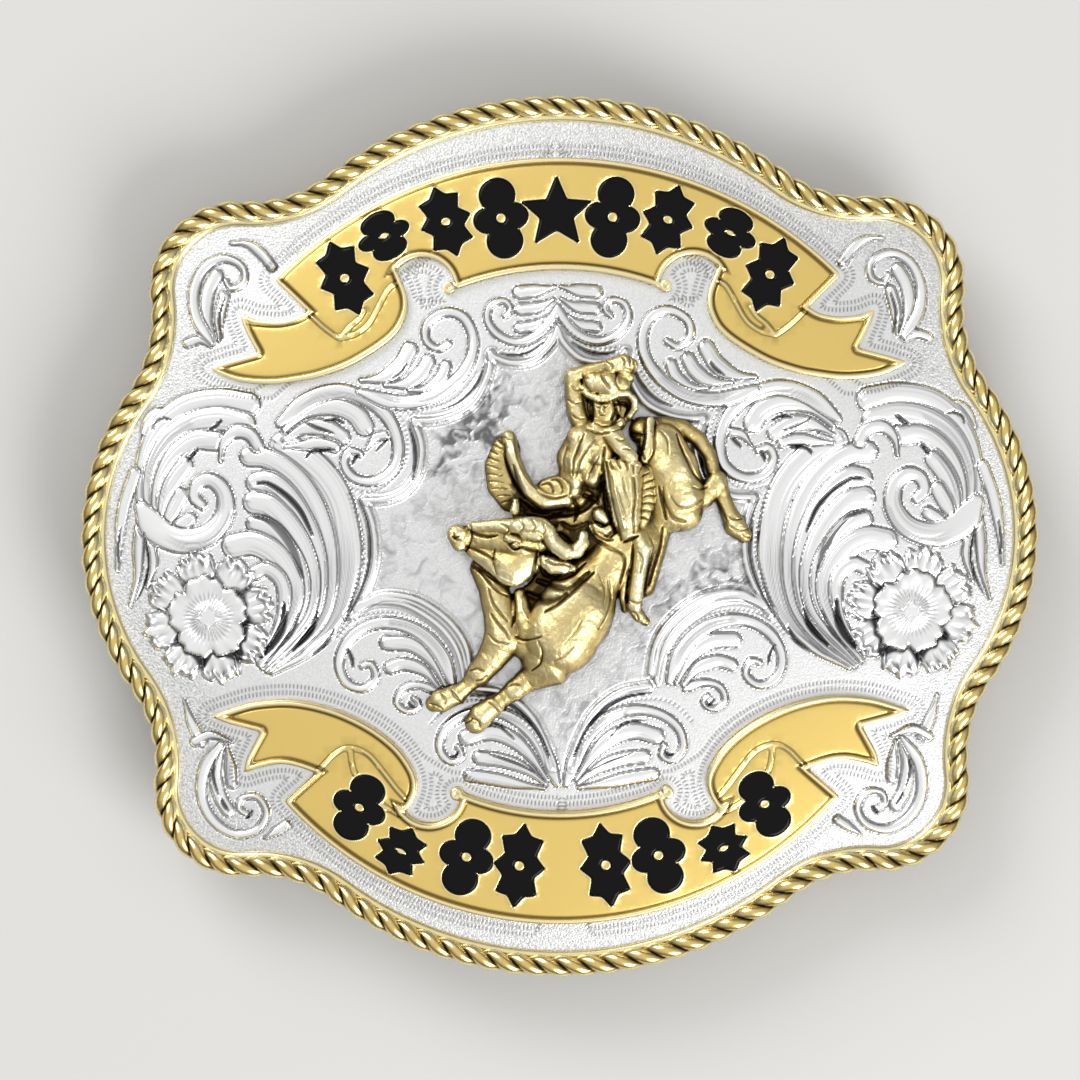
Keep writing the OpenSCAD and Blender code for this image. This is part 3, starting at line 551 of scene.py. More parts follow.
# Stems that end in a spiral: [width at the start, width at the end, then x, y from start to end]
stemRows = [
    [6.6, 2.4, -87, 7, -84, 2.2, -78.6, -0.4, -72.8, 1.2, -69.6, 5.8, -69.8, 10.6, -72.4, 13.4, -75.2, 12.6,
     -76, 9.6, -74.4, 7.8],
    [4.0, 1.8, -58, 26, -52.5, 31, -46, 33.2, -40, 31.4, -35.4, 27, -33.4, 21, -34.4, 15.6, -38.4, 12.8,
     -42.6, 13.6, -44.6, 16.8, -43.6, 19.6, -41.4, 19],
    [3.6, 1.6, -41, 33, -34, 30.6, -27.4, 31.2, -22, 34.6, -18.4, 39.6, -17.6, 45, -19.6, 49.6, -23.4, 50.8,
     -27, 48.4, -27.4, 44.6, -25, 42.6, -22.8, 43.8],
    [2.6, 1.3, 0, 52, -1.6, 48.2, -4.6, 45.2, -8.6, 44, -12.4, 45.6, -14.6, 49, -13.8, 52.4, -11, 53.2,
     -9.8, 51.2, -11, 49.8],
    [2.8, 1.3, -72, 44.6, -75.2, 50, -75.8, 56, -73.6, 61.4, -69.4, 63.6, -65.6, 61.6, -65.4, 58, -68, 56.8,
     -69, 58.6],
    [2.8, 1.3, -71, -46.6, -74.4, -52, -75, -58.6, -72.6, -64, -68, -67, -63.4, -65.8, -61.6, -62,
     -63.4, -58.6, -66.6, -58.8, -67.2, -61.2, -65.6, -62.4],
    [3.6, 1.5, -22.6, -33, -24.6, -27, -28.6, -22, -34, -19.4, -39.6, -19.8, -44, -23, -46, -28, -44.6, -32.6,
     -41, -34, -38.4, -31.6, -39.4, -28.6, -41.2, -29],
    [2.0, 1.2, -25.6, -35, -29.4, -33.4, -33, -34.4, -34, -37.6, -31.4, -39.4, -29.4, -37.6, -30.6, -36.4],
    [3.4, 1.5, -1, -56, -3, -50, -6, -44.6, -10.4, -40.8, -15.6, -39.4, -20.8, -40.6, -24.4, -43.8,
     -25.2, -48, -23, -50.8, -20.8, -49.6, -21.4, -47.6],
]
# Thin raised rails that border the middle field: x, y
railRows = [
    [-40.5, 8.4, -38.8, 3, -38.3, -3, -39, -8, -41, -13, -43.6, -17.6],
    [-40, 8.5, -36, 8.7, -32, 10.5, -29.5, 14, -28.5, 18, -28.7, 22, -30, 26],
    [-30, 26.4, -26, 26.4, -22, 27.5, -18, 30, -15.5, 34, -14.2, 38, -14, 41.6],
    [-14, 41, -12, 40, -10, 39.3, -7, 39.3, -4, 40.5, -1, 44, 0, 47],
    [-43.6, -17.6, -40, -15, -36, -14.4, -32, -15.2, -28, -17.6, -24.6, -20.6, -22, -24.4, -20.6, -28.4,
     -19.8, -33],
    [-42, -15.6, -37, -13, -31, -13.6, -26, -16.4, -22, -20.4, -19.6, -25, -18.6, -31],
    [-2, -52, -2.5, -49, -4, -45, -6, -41, -9, -37.5, -13, -35, -18.4, -34],
]
# Rows of punched dots: x, y
dotRows = [
    [-43.5, 10, -42, 5, -41, 1, -40.7, -4, -41.5, -8, -43, -13, -44.5, -18, -47, -22],
    [-43, 11, -40, 10.3, -37, 11, -34.5, 13.2, -32.2, 16.5, -31.5, 20.5, -32, 25, -34, 29],
    [-34, 28.5, -30, 28.3, -26, 29.3, -22, 31, -19, 34, -17, 37],
    [-13, 42.5, -10, 42.2, -7, 42.8, -5, 43.8, -3, 45.5, -1, 47.5, 0, 49],
    [-3.5, -48, -6, -44, -9, -40.4, -12, -38.4, -16, -37.2, -21, -37.2, -24.4, -39, -27, -42],
    [-46.4, -22.5, -44, -19.6, -41, -17.8, -37, -17, -33, -17.3, -29, -19, -25, -22.6, -22.6, -27],
]
# Blackened cuts: [width, darkness, then x, y]
darkRows = [
    [1.1, 1.0, -63.2, 12.4, -61, 12.6, -58.5, 11.2, -56, 9, -53.4, 5.6, -51.2, 0.4],
    [1.9, 0.55, -63.6, 5.2, -60.6, 4.4, -57.4, 1.2, -55, -3.4, -53.4, -9],
    [1.7, 1.0, -57.4, -14.6, -57.6, -18.6, -59, -22.6, -62.4, -27],
    [1.3, 1.0, -50.4, -16.6, -52, -21, -55.6, -25.4],
    [0.9, 0.8, -47, -20.6, -48.6, -23.6, -51.6, -26.4],
    [0.8, 0.7, -54.2, -17, -56, -21.6, -59.4, -26],
    [0.9, 0.8, -73, 24.6, -71.6, 25.4, -70, 27],
    [0.8, 0.8, -77.2, 17.6, -76.2, 19.2, -75.2, 20.4],
    [0.8, 0.9, -42.8, 16.6, -42.4, 18.2, -41.4, 18.8],
    [0.8, 0.8, -38, 19.6, -36.8, 21, -35.6, 22.2],
    [0.8, 0.7, -52.4, 26.2, -50, 24.8, -46.8, 23.6],
    [0.9, 0.9, -52.6, 18, -51.4, 19.6, -49, 19.9, -46.6, 19.9],
    [0.8, 0.9, -48.6, 26.4, -46.4, 26.8, -44.4, 25.8],
    [0.8, 0.8, -34.4, 36, -32.6, 37.4, -31.4, 39.2],
    [0.8, 0.8, -24, 29, -21, 30.3, -18.5, 32.5, -16.4, 35.6, -15.3, 39],
    [0.8, 0.8, -12, 41.4, -9, 41, -6, 41.7, -3, 43.8],
    [0.9, 0.9, -2.5, -50, -4.5, -45, -7, -41.4, -10, -38.4, -14, -36.4, -19, -35.6],
    [0.8, 0.7, -41.9, 9, -40, 4, -39.4, -2, -40, -7.6, -42, -13.4, -44.6, -18.6],
    [0.9, 0.8, -30.4, 13, -29.8, 17, -30, 21, -31, 25],
    [0.8, 0.8, -44.4, -25, -43.4, -27.4, -43.2, -29.4],
    [0.8, 0.8, -31.8, -37, -31, -38.4, -30, -38.2],
    [0.8, 0.8, -66, -63.6, -65.2, -62.8, -64.6, -61.6],
    [0.8, 0.8, -71, -58.6, -70.4, -60.2, -69.4, -61.6],
    [0.7, 0.9, -86.6, 1.6, -85.6, -4.6, -86.4, -9.4, -88.4, -14],
    [0.7, 0.7, -91.4, 3, -92, -2, -91.8, -5],
    [0.7, 0.7, -84.6, 24.6, -84.2, 26.2, -82.4, 27.4, -80.6, 27],
    [0.7, 0.8, -21.4, -48.4, -22, -49.8, -23.4, -49.6],
    [0.7, 0.7, -9.6, -46, -13, -42.6, -18, -41.6],
    [0.7, 0.7, -5.4, -53.4, -9, -51.4, -15, -49],
    [0.7, 0.7, -69.2, 55, -70.4, 50, -69.9, 45.5],
    [0.7, 0.7, -72.2, -50, -72.6, -54, -71.5, -58],
]
# Sheaves of fine shading lines between two guide lines: [count, darkness, guide, guide]
sheafRows = [
    [7, 0.5, [-44.4, 6, -42.6, -2, -43, -10, -46, -19, -56, -28.4], [-46.6, 6, -46, -2, -46.2, -10,
     -48.8, -19.4, -58, -28.8]],
    [5, 0.45, [-47.4, 4, -46.8, -4, -47.2, -13, -50, -20.6, -58, -28.4], [-49.4, 4, -48.8, -4, -49, -13,
     -51.4, -20, -59, -28.4]],
    [4, 0.45, [-50, -2, -49.6, -10, -51, -17.6, -58, -27], [-51.6, -2, -51.2, -10, -52.4, -17.4, -59, -26.8]],
    [5, 0.45, [-54.6, -6, -54.2, -13, -56.4, -20, -61, -27], [-56.6, -8, -56.2, -14, -58, -20, -62, -27]],
    [6, 0.4, [-86, 6, -86, 15, -82.4, 23, -75, 28], [-84.6, 6, -84.4, 14, -81, 21, -75.4, 25]],
    [5, 0.4, [-84, 5, -83.4, 12, -80.6, 17.6, -76, 21], [-82.8, 5, -81.8, 11, -79.6, 15.6, -77, 18]],
    [6, 0.4, [-84, 1, -79, -2.4, -73.4, -2.4, -68.8, 1.6, -66.6, 7], [-83, 2.4, -79, -0.4, -74, -0.4,
     -70.4, 2.4, -68.4, 7]],
    [5, 0.4, [-57, 27.6, -50, 32.6, -43, 32.6, -37, 28.4], [-57, 26, -50.6, 30.6, -44, 31, -38.6, 27.4]],
    [5, 0.4, [-40, 34, -33, 31.8, -26.6, 32.8, -21.4, 37], [-40, 33, -33, 30.4, -25.8, 31, -19.8, 36]],
    [5, 0.4, [-23.4, -32, -26, -25.6, -31, -21, -37, -19.6], [-22.4, -32, -24.6, -25.4, -30, -20,
     -36.4, -18.4]],
    [5, 0.4, [-1.6, -55.4, -4, -48.4, -8.4, -43, -14.4, -40.6], [-0.8, -55.4, -3, -48.4, -7.6, -42,
     -14, -39.2]],
]
flower = {"at": [-73.2, -17.8], "frontR": 4.3, "backR": 7.3}    # percent, mm, mm

# The relief is worked out on a grid over the left half and mirrored
step = relief["step"]
gridX = -step * np.arange(int(halfW / step), -1, -1)
gridY = step * np.arange(-int(halfH / step), int(halfH / step) + 1)
pointX, pointY = np.meshgrid(gridX, gridY)
field = {key: np.zeros(pointX.shape) for key in ("h", "dark", "matte", "stage")}
inset = edgeInset(pointX, pointY)
pct = (halfW + halfH) / 200     # mm to a percent, for widths


def window(points, margin):
    return gridWindow(gridX, gridY, points, margin)


# The relief's grid round a line: the window, the distance to the line, its share along it and the side
def around(line, margin):
    w = window(line, margin)
    return w, *lineDistance(pointX[w], pointY[w], line)


# Height, darkness and stipple of the relief in a window, to be changed in place
def views(w):
    return (field[key][w] for key in ("h", "dark", "matte"))


# Sinks and darkens the relief where a mask says
def stamp(w, mask, depth, shade):
    field["h"][w] -= depth * mask
    field["dark"][w] = np.maximum(field["dark"][w], shade * mask)


# A raised leaf or stem with a grooved outline; it lies over what is already there
def leaf(width, points, endWidth=None):
    line = spline(at(points), 0.5)
    w1 = width * pct / 2
    here, d, share, side = around(line, 1.3 * w1 + 0.6)
    if endWidth is None:
        w = w1 * relief["leafGain"] * (0.3 + 0.7 * smooth(0.0, 0.62, share))
    else:
        w = w1 * smooth(-0.12, 0.12, share) + (endWidth * pct / 2 - w1) * share
    edge = d - w
    profile = np.clip(1 - (d / w) ** 2.6, 0, 1) ** 0.62
    rise = relief["ribBase"] + (relief["ribTop"] - relief["ribBase"]) * profile
    # the face falls a little toward the inside of the leaf's bend
    bend = np.sign(np.cross(line[-1] - line[0], line[len(line) // 2] - line[0]))
    rise += 0.09 * bend * side * np.clip(d / w, 0, 1) * profile
    # two fine lines follow the rim of a wide leaf
    fine = np.exp(-((d / w - 0.72) / 0.09) ** 2) * smooth(0.2, 0.5, share)
    fine += 0.7 * np.exp(-((d / w - 0.36) / 0.1) ** 2) * smooth(0.05, 0.4, share) * smooth(1, 0.85, share)
    fine *= smooth(0.4, 0.8, w)
    rise -= 0.06 * fine
    h, dark, matte = views(here)
    groove = np.exp(-(edge / relief["outlineW"]) ** 2)
    inside = edge < 0
    h[:] = np.where(inside, rise - 0.5 * relief["outline"] * groove, h - relief["outline"] * groove)
    base = 0.30 * (1 - smooth(0.0, 0.42, share)) if endWidth is None else 0.0
    dark[:] = np.where(inside, base * (0.4 + 0.6 * (d / w) ** 2) + 0.1 * fine, dark)
    dark[:] = np.maximum(dark, 0.7 * groove)
    matte[:] = np.where(inside, 0, matte)


def rail(points, width=0.34, height=0.24):
    here, d, share, side = around(spline(at(points), 0.5), 1.2)
    h, dark, matte = views(here)
    ridge = np.exp(-(d / width) ** 4)
    foot = np.exp(-((d - 2 * width) / 0.1) ** 2)
    h[:] = h * (1 - ridge) + height * ridge - 0.07 * foot
    dark[:] = np.maximum(dark * (1 - ridge), 0.5 * foot)
    matte[:] = matte * (1 - ridge)


def dots(points, pitch=0.52, r=0.17, depth=0.12, dark=0.7):
    for p in spline(at(points), pitch):
        w = window(p[None, :], 0.6)
        stamp(w, np.exp(-((pointX[w] - p[0]) ** 2 + (pointY[w] - p[1]) ** 2) / r ** 2), depth, dark)


# A cut that tapers to both ends and is blackened as far as dark says
def cut(width, dark, points):
    w1 = width * pct / 2
    here, d, share, side = around(spline(at(points), 0.4), w1 + 0.5)
    w = w1 * (0.25 + 0.75 * np.sin(np.pi * np.clip(share, 0, 1)) ** 0.7)
    stamp(here, smooth(1.25, 0.7, d / w), 0.22 * dark, 1 - (1 - dark) ** 2)


# Fine shading lines spread between two guide lines
def sheaf(count, dark, first, last, width=0.085, depth=0.06):
    a, b = at(first), at(last)
    for k in range(count):
        here, d, share, side = around(spline(a + (b - a) * ((k + 0.5) / count), 0.5), 0.5)
        mask = np.exp(-(d / width) ** 2) * smooth(0, 0.35, share) * smooth(1.0, 0.92, share)
        stamp(here, mask, depth, dark * (0.55 + 0.45 * ((k * 7) % 3) / 2))


def bloom():
    c = at(flower["at"])[0]
    w = window(c[None, :], 8.5)
    dx, dy = pointX[w] - c[0], pointY[w] - c[1]
    r, t = np.hypot(dx, dy), np.arctan2(dy, dx)
    h, dark, matte = views(w)
    # the ruffled ring of petals at the back
    petals = 8
    phase = np.mod(t * petals / (2 * np.pi) + 0.2, 1.0)
    lobe = np.sin(np.pi * phase) ** 0.6
    back = flower["backR"] * (0.78 + 0.17 * lobe + 0.03 * np.cos(3 * petals * t + 1.0)
                              + 0.02 * np.cos(41 * t))
    inside = r < back
    crease = np.exp(-((np.minimum(phase, 1 - phase)) / 0.055) ** 2)
    ripple = 0.08 * np.cos(t * 32 + 2.0 * np.sin(3 * t)) * smooth(4.0, 6.2, r)
    curl = 0.20 * np.exp(-((r - back + 0.55) / 0.35) ** 2)
    rise = 0.16 + 0.10 * lobe + ripple + curl - 0.22 * crease
    edge = np.exp(-((r - back) / 0.11) ** 2)
    h[:] = np.where(inside, rise, h - 0.14 * edge)
    shade = 0.85 * crease * smooth(7.0, 4.6, r) + 0.45 * np.clip(-ripple / 0.09, 0, 1)
    dark[:] = np.maximum(np.where(inside, shade, dark), 0.6 * edge)
    matte[:] = np.where(inside, 0, matte)
    # the front petals, with the shadow that they cast on the back ones
    five = np.abs(np.sin((5 * t + 0.9) / 2))
    front = flower["frontR"] * (0.84 + 0.16 * five ** 0.6 + 0.04 * np.cos(2 * t + 2.0)
                                + 0.025 * np.cos(15 * t + 0.4) + 0.015 * np.cos(23 * t))
    below = 0.22 + 0.55 * smooth(0.2, -0.9, np.sin(t)) + 0.25 * smooth(0.3, 1, np.cos(t))
    wedge = np.exp(-(np.minimum(phase, 1 - phase) / 0.17) ** 2)
    under = smooth(front + 0.25 + below * (0.35 + 2.2 * wedge), front, r)
    inFront = r < front
    dark[:] = np.where(inFront, 0, np.maximum(dark, np.clip(1.5 * under * (0.35 + below), 0, 1)))
    h[:] = np.where(inFront, h, h - 0.12 * under)
    bowl = 0.42 + 0.16 * smooth(1.6, front - 0.5, r) - 0.10 * smooth(front - 0.4, front, r)
    valley = (1 - five) ** 3
    bowl = bowl - 0.10 * valley * smooth(1.6, 3.6, r) + 0.03 * np.cos(15 * t + 0.4) * smooth(2.4, 4.0, r)
    h[:] = np.where(inFront, bowl, h)
    dark[:] = np.where(inFront, 0.35 * valley * smooth(2.0, 3.8, r), dark)
    # stamens: fine rays round a small boss
    rays = np.cos(t * 34 + 0.5 * np.sin(5 * t)) * smooth(0.5, 0.9, r) * smooth(3.1, 2.2, r)
    boss = 0.25 * np.exp(-(r / 1.7) ** 4)
    h[:] = np.where(inFront, h + boss + 0.05 * rays, h)
    dark[:] = np.where(inFront, np.maximum(dark, 0.5 * np.clip(-rays, 0, 1) ** 2), dark)


# Short cuts stamped across the line where a field has a certain value
def tickRow(f, level, length, pitch, depth, dark):
    for loop in contour(f, gridX[0], gridY[0], step, level):
        pts = resample(smoothLoop(loop, 0.3), pitch, closed=True)
        if len(pts) < 6:
            continue
        tangent = np.roll(pts, -1, 0) - np.roll(pts, 1, 0)
        tangent /= np.hypot(*tangent.T)[:, None] + 1e-9
        for p, t in zip(pts, tangent):
            w = window(p[None, :], length)
            if t @ t < 0.5 or any(way.start >= way.stop for way in w):
                continue
            dx, dy = pointX[w] - p[0], pointY[w] - p[1]
            ends = smooth(length / 2 + 0.08, length / 2 - 0.08, np.abs(dx * t[1] - dy * t[0]))
            stamp(w, np.exp(-((dx * t[0] + dy * t[1]) / 0.09) ** 2) * ends, depth, dark)


toRibbon = -np.maximum(*(ribbonField(row, pointX, pointY) for row in ribbons.values()))
stage("ribbon shapes")
# The stippled ground, and the middle field, whose outline follows the rails
field["matte"][:] = 0.35 + 0.65 * smooth(8.5, 6.0, inset)
runs = [at(railRows[0])[::-1], at(railRows[1]), at([*railRows[2][:-2], -14, 41]),
        at([*railRows[3][:-2], 0, 46]), at([-1, -50, *railRows[6][2:]]), at(railRows[5])[::-1]]
runs = [spline(run, 0.6) for run in runs]
stagePoly = np.vstack(runs[:4] + [at([4, 46, 4, -50])] + runs[4:])
field["stage"][:] = smooth(-0.1, 0.4, signedPolygon(pointX, pointY, stagePoly))
field["matte"] *= 1 - field["stage"]
# The first stem lies over the leaves of the plume and the big scroll, and under all that follow
early = relief["underStem"]
for rows in ((leafRows[:early], stemRows[:1]), (leafRows[early:], stemRows[1:])):
    for width, *run in rows[0]:
        leaf(width, run)
    for width, endWidth, *run in rows[1]:
        leaf(width, run, endWidth)
stage("leaves")
for run in railRows:
    rail(run)
for width, darkness, *run in darkRows:
    cut(width, darkness, run)
for row in sheafRows:
    sheaf(*row)
for run in dotRows:
    dots(run)
bloom()
stage("cuts and flower")
# Along the ribbons: a plain margin, then two rows of ticks, by distance and length
for away, length in ((0.75, 0.55), (1.45, 0.5)):
    tickRow(-toRibbon, -away, length, relief["tickPitch"], 0.03, 0.8)
# The ground stays low beside and beneath the ribbons and at the rope
calm = smooth(0.9, 0.1, toRibbon)
field["h"] = field["h"] * (1 - calm) + np.minimum(field["h"], 0.0) * calm
field["h"] *= 1 - smooth(3.2, 2.6, inset)
field["h"] = np.maximum(field["h"], relief["floor"])
stage("relief")

gradY, gradX = np.gradient(field["h"], step)
gradX[:, -1] = 0
gridNormal = np.stack([pointX / size["domeR"] - gradX, pointY / size["domeR"] - gradY,
                       np.ones(pointX.shape)], axis=-1)

# Clouds engraved in the middle field: [x, y, radius across, radius along, turn, strength], mm and degrees
clouds = [[-8.8, 11.6, 3.4, 5.6, -30, 1.0], [-12.5, 8.5, 3.0, 3.5, 0, 0.6], [16.5, -5.5, 3.2, 8.5, -62, 0.8],
          [12.0, -9.5, 2.6, 7.0, -62, 0.6], [-12.5, 2.0, 3.5, 4.5, 10, 0.35], [1.0, 16.5, 3.0, 5.0, 80, 0.35],
          [19.0, -1.0, 2.5, 4.0, -40, 0.45], [3.0, -18.0, 3.0, 7.0, -70, 0.4],
          [-3.5, 22.0, 2.5, 7.0, 80, 0.35]]
cloudLook = {
    "ground": 0.33,     # strength away from the clouds
    "gain": 1.2,        # on the strength of each cloud
    "spread": 1.25,     # on the radii of each cloud
    "most": 0.86,       # as dark as it gets
}


# Smooth seeded noise between -1 and 1 over cells of that size
def lattice(px, py, seed, cell):
    table = np.random.default_rng(seed).uniform(-1, 1, (64, 64))
    u, v = px / cell, py / cell
    i, j = np.floor(u).astype(int), np.floor(v).astype(int)
    a, b = u - i, v - j
    a, b = a * a * (3 - 2 * a), b * b * (3 - 2 * b)
    t = lambda di, dj: table[(j + dj) % 64, (i + di) % 64]
    return (t(0, 0) * (1 - a) + t(1, 0) * a) * (1 - b) + (t(0, 1) * (1 - a) + t(1, 1) * a) * b


# How dark the clouds of the middle field are at a place
def cloudShade(x, y):
    look = cloudLook
    weight = np.full(x.shape, look["ground"])
    for cx, cy, ra, rb, turn, strength in clouds:
        t = math.radians(turn)
        u = (x - cx) * math.cos(t) + (y - cy) * math.sin(t)
        v = -(x - cx) * math.sin(t) + (y - cy) * math.cos(t)
        shape = np.exp(-(u / (look["spread"] * ra)) ** 2 - (v / (look["spread"] * rb)) ** 2)
        weight = np.maximum(weight, look["gain"] * strength * shape)
    wx = x + 0.8 * lattice(x, y, 21, 1.1)
    wy = y + 0.8 * lattice(x, y, 22, 1.1)
    n = 0.55 * lattice(wx, wy, 23, 1.7) + 0.45 * lattice(wx, wy, 24, 0.8) + 0.35 * lattice(x, y, 25, 0.36)
    ridge = 1 - np.abs(lattice(wx, wy, 26, 1.3)) * 2.2
    # feathery strokes that rise to the right
    along, across = 0.78 * wx + 0.62 * wy, 2.6 * (0.78 * wy - 0.62 * wx)
    flake = lattice(along, across, 27, 1.5) + 0.7 * lattice(along, across, 28, 0.7)
    return np.clip(weight * (0.36 + 0.55 * n + 0.40 * np.clip(ridge, 0, 1) + 0.45 * flake), 0, look["most"])


# One closed sheet of relief from the grid cells whose corners are all in the mask, and its mirror
def skin(name, mask):
    cell = mask[:-1, :-1] & mask[:-1, 1:] & mask[1:, :-1] & mask[1:, 1:]
    used, quads = gridQuads(cell, mask.shape)
    xy = np.column_stack([pointX[used], pointY[used]])
    shades = {key: field[key][used] for key in ("dark", "matte", "stage")}
    verts, faces, shades = closeDown(xy, field["h"][used], quads, relief["under"], shades)
    normals = np.vstack([gridNormal[used], np.tile([0, 0, -1.0], (len(verts) - len(xy), 1))])
    out = []
    for suffix, way in (("left", 1), ("right", -1)):
        flip = np.array([way, 1, 1])
        shades["cloud"] = shades["stage"] * cloudShade(verts[:, 0] * way, verts[:, 1])
        obj = makeMesh(f"{name}_{suffix}", verts * flip, [f[:, ::way] for f in faces], shades, normals * flip)
        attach(obj, "root")
        out.append(obj)
    return out


shown = (inset > ledgeIn) & (toRibbon > -relief["ribbonCover"])
skins = skin("relief_top", shown & (pointY >= -step / 2))
skins += skin("relief_bottom", shown & (pointY <= step / 2))
stage("relief skins")


# The plate itself: ledge, sides and hollow back, all closed, with its top just under the relief
plateLook = {
    "points": 150, "quickPoints": 60,   # to a quarter of the outline
    "mesh": 2.0,                        # mm between the points of the top and the back
    "middleH": -0.38,                   # mm, the top's middle against the face, below the relief's underside
    # mm inward from the relief's edge and mm above the face, from the top over the ledge to the back
    "section": [(0.05, -0.33), (0, -0.45), (0, -0.9), (-0.06, -0.93), (-1.55, -0.93), (-1.68, -0.97),
                (-1.7, -1.05), (-1.7, -1.5), (-1.68, -1.57), (-1.55, -1.6)],
}


def plateBody():
    n = plateLook["points"]
    rows = [(ledgeIn + ins, h) for ins, h in plateLook["section"]]
    rings = [onDome(ring(ins, n)[0], h) for ins, h in rows]
    m = len(rings[0])
    verts = np.vstack(rings)
    faces = [np.roll(ringQuads(len(rings), m)[:, ::-1], 1, axis=1)]
    g = np.arange(-50, 51, plateLook["mesh"])
    fx, fy = (a.ravel() for a in np.meshgrid(g, g))
    for i, h, way in ((0, plateLook["middleH"], 1), (len(rings) - 1, -size["plateT"], -1)):
        free = np.column_stack([fx, fy])[edgeInset(fx, fy) > rows[i][0] + 1.2]
        _, tri, origin = cdt(np.vstack([ring(rows[i][0], n)[0], free]), [list(range(m))])
        ids = np.where(origin < m, i * m + origin, len(verts) + origin - m)
        verts = np.vstack([verts, onDome(free, h)])
        faces.append(ids[tri][:, ::way])
    return verts, faces


body = makeMesh("plate_body", *plateBody())
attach(body, "root")
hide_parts("plate")
stage("plate body")


# Ribbons: sheets of gold with a raised rim, fold lines and pockets for the enamel
ribbonLook = {
    "step": 0.16,       # mm between the points of the grid that its lines are drawn on
    "quickStep": 0.3,
    "seat": 0.12,       # mm, underside above the plate's face
    "face": 1.0,        # mm, top face above the plate's face
    "rim": 0.27,        # mm, rise of the rim above that
    "rimW": 0.6,        # mm, width of the rim
    "fold": 0.08,       # mm, rise of the folds' edge lines
    "pocket": 0.5,      # mm, depth of the enamel's pockets
    "lip": 0.06,        # mm, rise of the bright lip round each pocket
    "enamel": 0.1,      # mm, rise of the enamel above the face
    "inlayH": 9.2,      # mm, height of an inlay whose share is 1
}
spur = [[0, 0.5], [0.09, 0.36], [0.23, 0.33], [0.17, 0.13], [0.29, 0], [0.17, -0.13], [0.23, -0.33],
        [0.09, -0.36], [0, -0.5]]
spur = np.array(spur + [[-x, y] for x, y in spur[-2:0:-1]])
starR = (0.42, 0.19)
star = np.array([[starR[i % 2] * math.sin(math.pi * i / 5), starR[i % 2] * math.cos(math.pi * i / 5)]
                 for i in range(10)])
# [kind, angle along the band, lean, height share, shift outward share]
topInlays = [["spur", -37.4, -22, 0.9, 0.1], ["clover", -28.4, -26, 0.58, 0.26],
             ["spur", -18.4, -18.4, 0.82, 0.12], ["clover", -9.4, -9.4, 0.96, 0], ["star", 0, 0, 1, 0],
             ["clover", 9.4, 9.4, 0.96, 0], ["spur", 18.4, 18.4, 0.82, 0.12],
             ["clover", 28.4, 26, 0.58, 0.26], ["spur", 37.4, 22, 0.9, 0.1]]
lowInlays = [["clover", 38.8, 26, 0.8, 0.1], ["spur", 28.6, 27, 0.58, 0.26],
             ["clover", 17.6, 17.6, 0.92, 0.03], ["spur", 7.9, 7.9, 0.96, 0], ["spur", -7.9, -7.9, 0.96, 0],
             ["clover", -17.6, -17.6, 0.92, 0.03], ["spur", -28.6, -27, 0.58, 0.26],
             ["clover", -38.8, -26, 0.8, 0.1]]


# Distance to a motif's outline, for a height of about 1, positive inside
def motifField(kind, x, y):
    if kind == "clover":
        d = np.minimum(0.1 - np.abs(x), 0.25 - np.abs(y))
        for cx, cy, r in ((0, 0.28, 0.2), (0, -0.28, 0.2), (0.16, 0, 0.15), (-0.16, 0, 0.15)):
            d = np.maximum(d, r - np.hypot(x - cx, y - cy))
        return np.minimum(d, np.hypot(x, y) - 0.07)
    if kind == "star":
        return signedPolygon(x, y, star)
    return np.minimum(signedPolygon(x, y, spur), np.hypot(x, y) - 0.07)


motifStep, motifFrom = 0.0125, -0.55
motifGrid = np.arange(motifFrom, 0.5501, motifStep)
motifLoops = {kind: contour(motifField(kind, *np.meshgrid(motifGrid, motifGrid)),
                            motifFrom, motifFrom, motifStep, 0.0) for kind in ("spur", "clover", "star")}


# A motif's loops in millimetres, for the ribbon drawn the way up of the top one
def placedMotif(row, item):
    kind, angle, lean, share, out = item
    tall = ribbonLook["inlayH"]
    c = onArc(np.array([0, halfH - row["drop"] - row["r"]]), row["r"] - bandW / 2 + out * tall, angle)
    a = math.radians(-lean)
    rot = np.array([[math.cos(a), -math.sin(a)], [math.sin(a), math.cos(a)]])
    return [smoothLoop(loop * [tall, share * tall], 0.14) @ rot.T + c for loop in motifLoops[kind]]


# Distance to a placed motif's outline, positive inside
def loopsField(loops, px, py):
    outer = max(loops, key=lambda loop: np.ptp(loop[:, 0]) * np.ptp(loop[:, 1]))
    d = signedPolygon(px, py, outer)
    for loop in loops:
        if loop is not outer:
            d = np.minimum(d, -signedPolygon(px, py, loop))
    return d


# Loops at these distances outside (negative) or inside (positive) a motif's outline
def localContours(loops, levels, spacing=0.07):
    allPts = np.vstack(loops)
    lo, hi = allPts.min(0) - 0.5, allPts.max(0) + 0.5
    xs, ys = np.arange(lo[0], hi[0], spacing), np.arange(lo[1], hi[1], spacing)
    f = loopsField(loops, *np.meshgrid(xs, ys))
    return [smoothLoop(loop, 0.2) for level in levels for loop in contour(f, xs[0], ys[0], spacing, level)]


def foldDistance(row, px, py):
    d = np.full(px.shape, 1e9)
    for run in row["folds"]:
        d = np.minimum(d, lineDistance(-np.abs(px), py, spline(at(run), 0.5))[0])
    return d


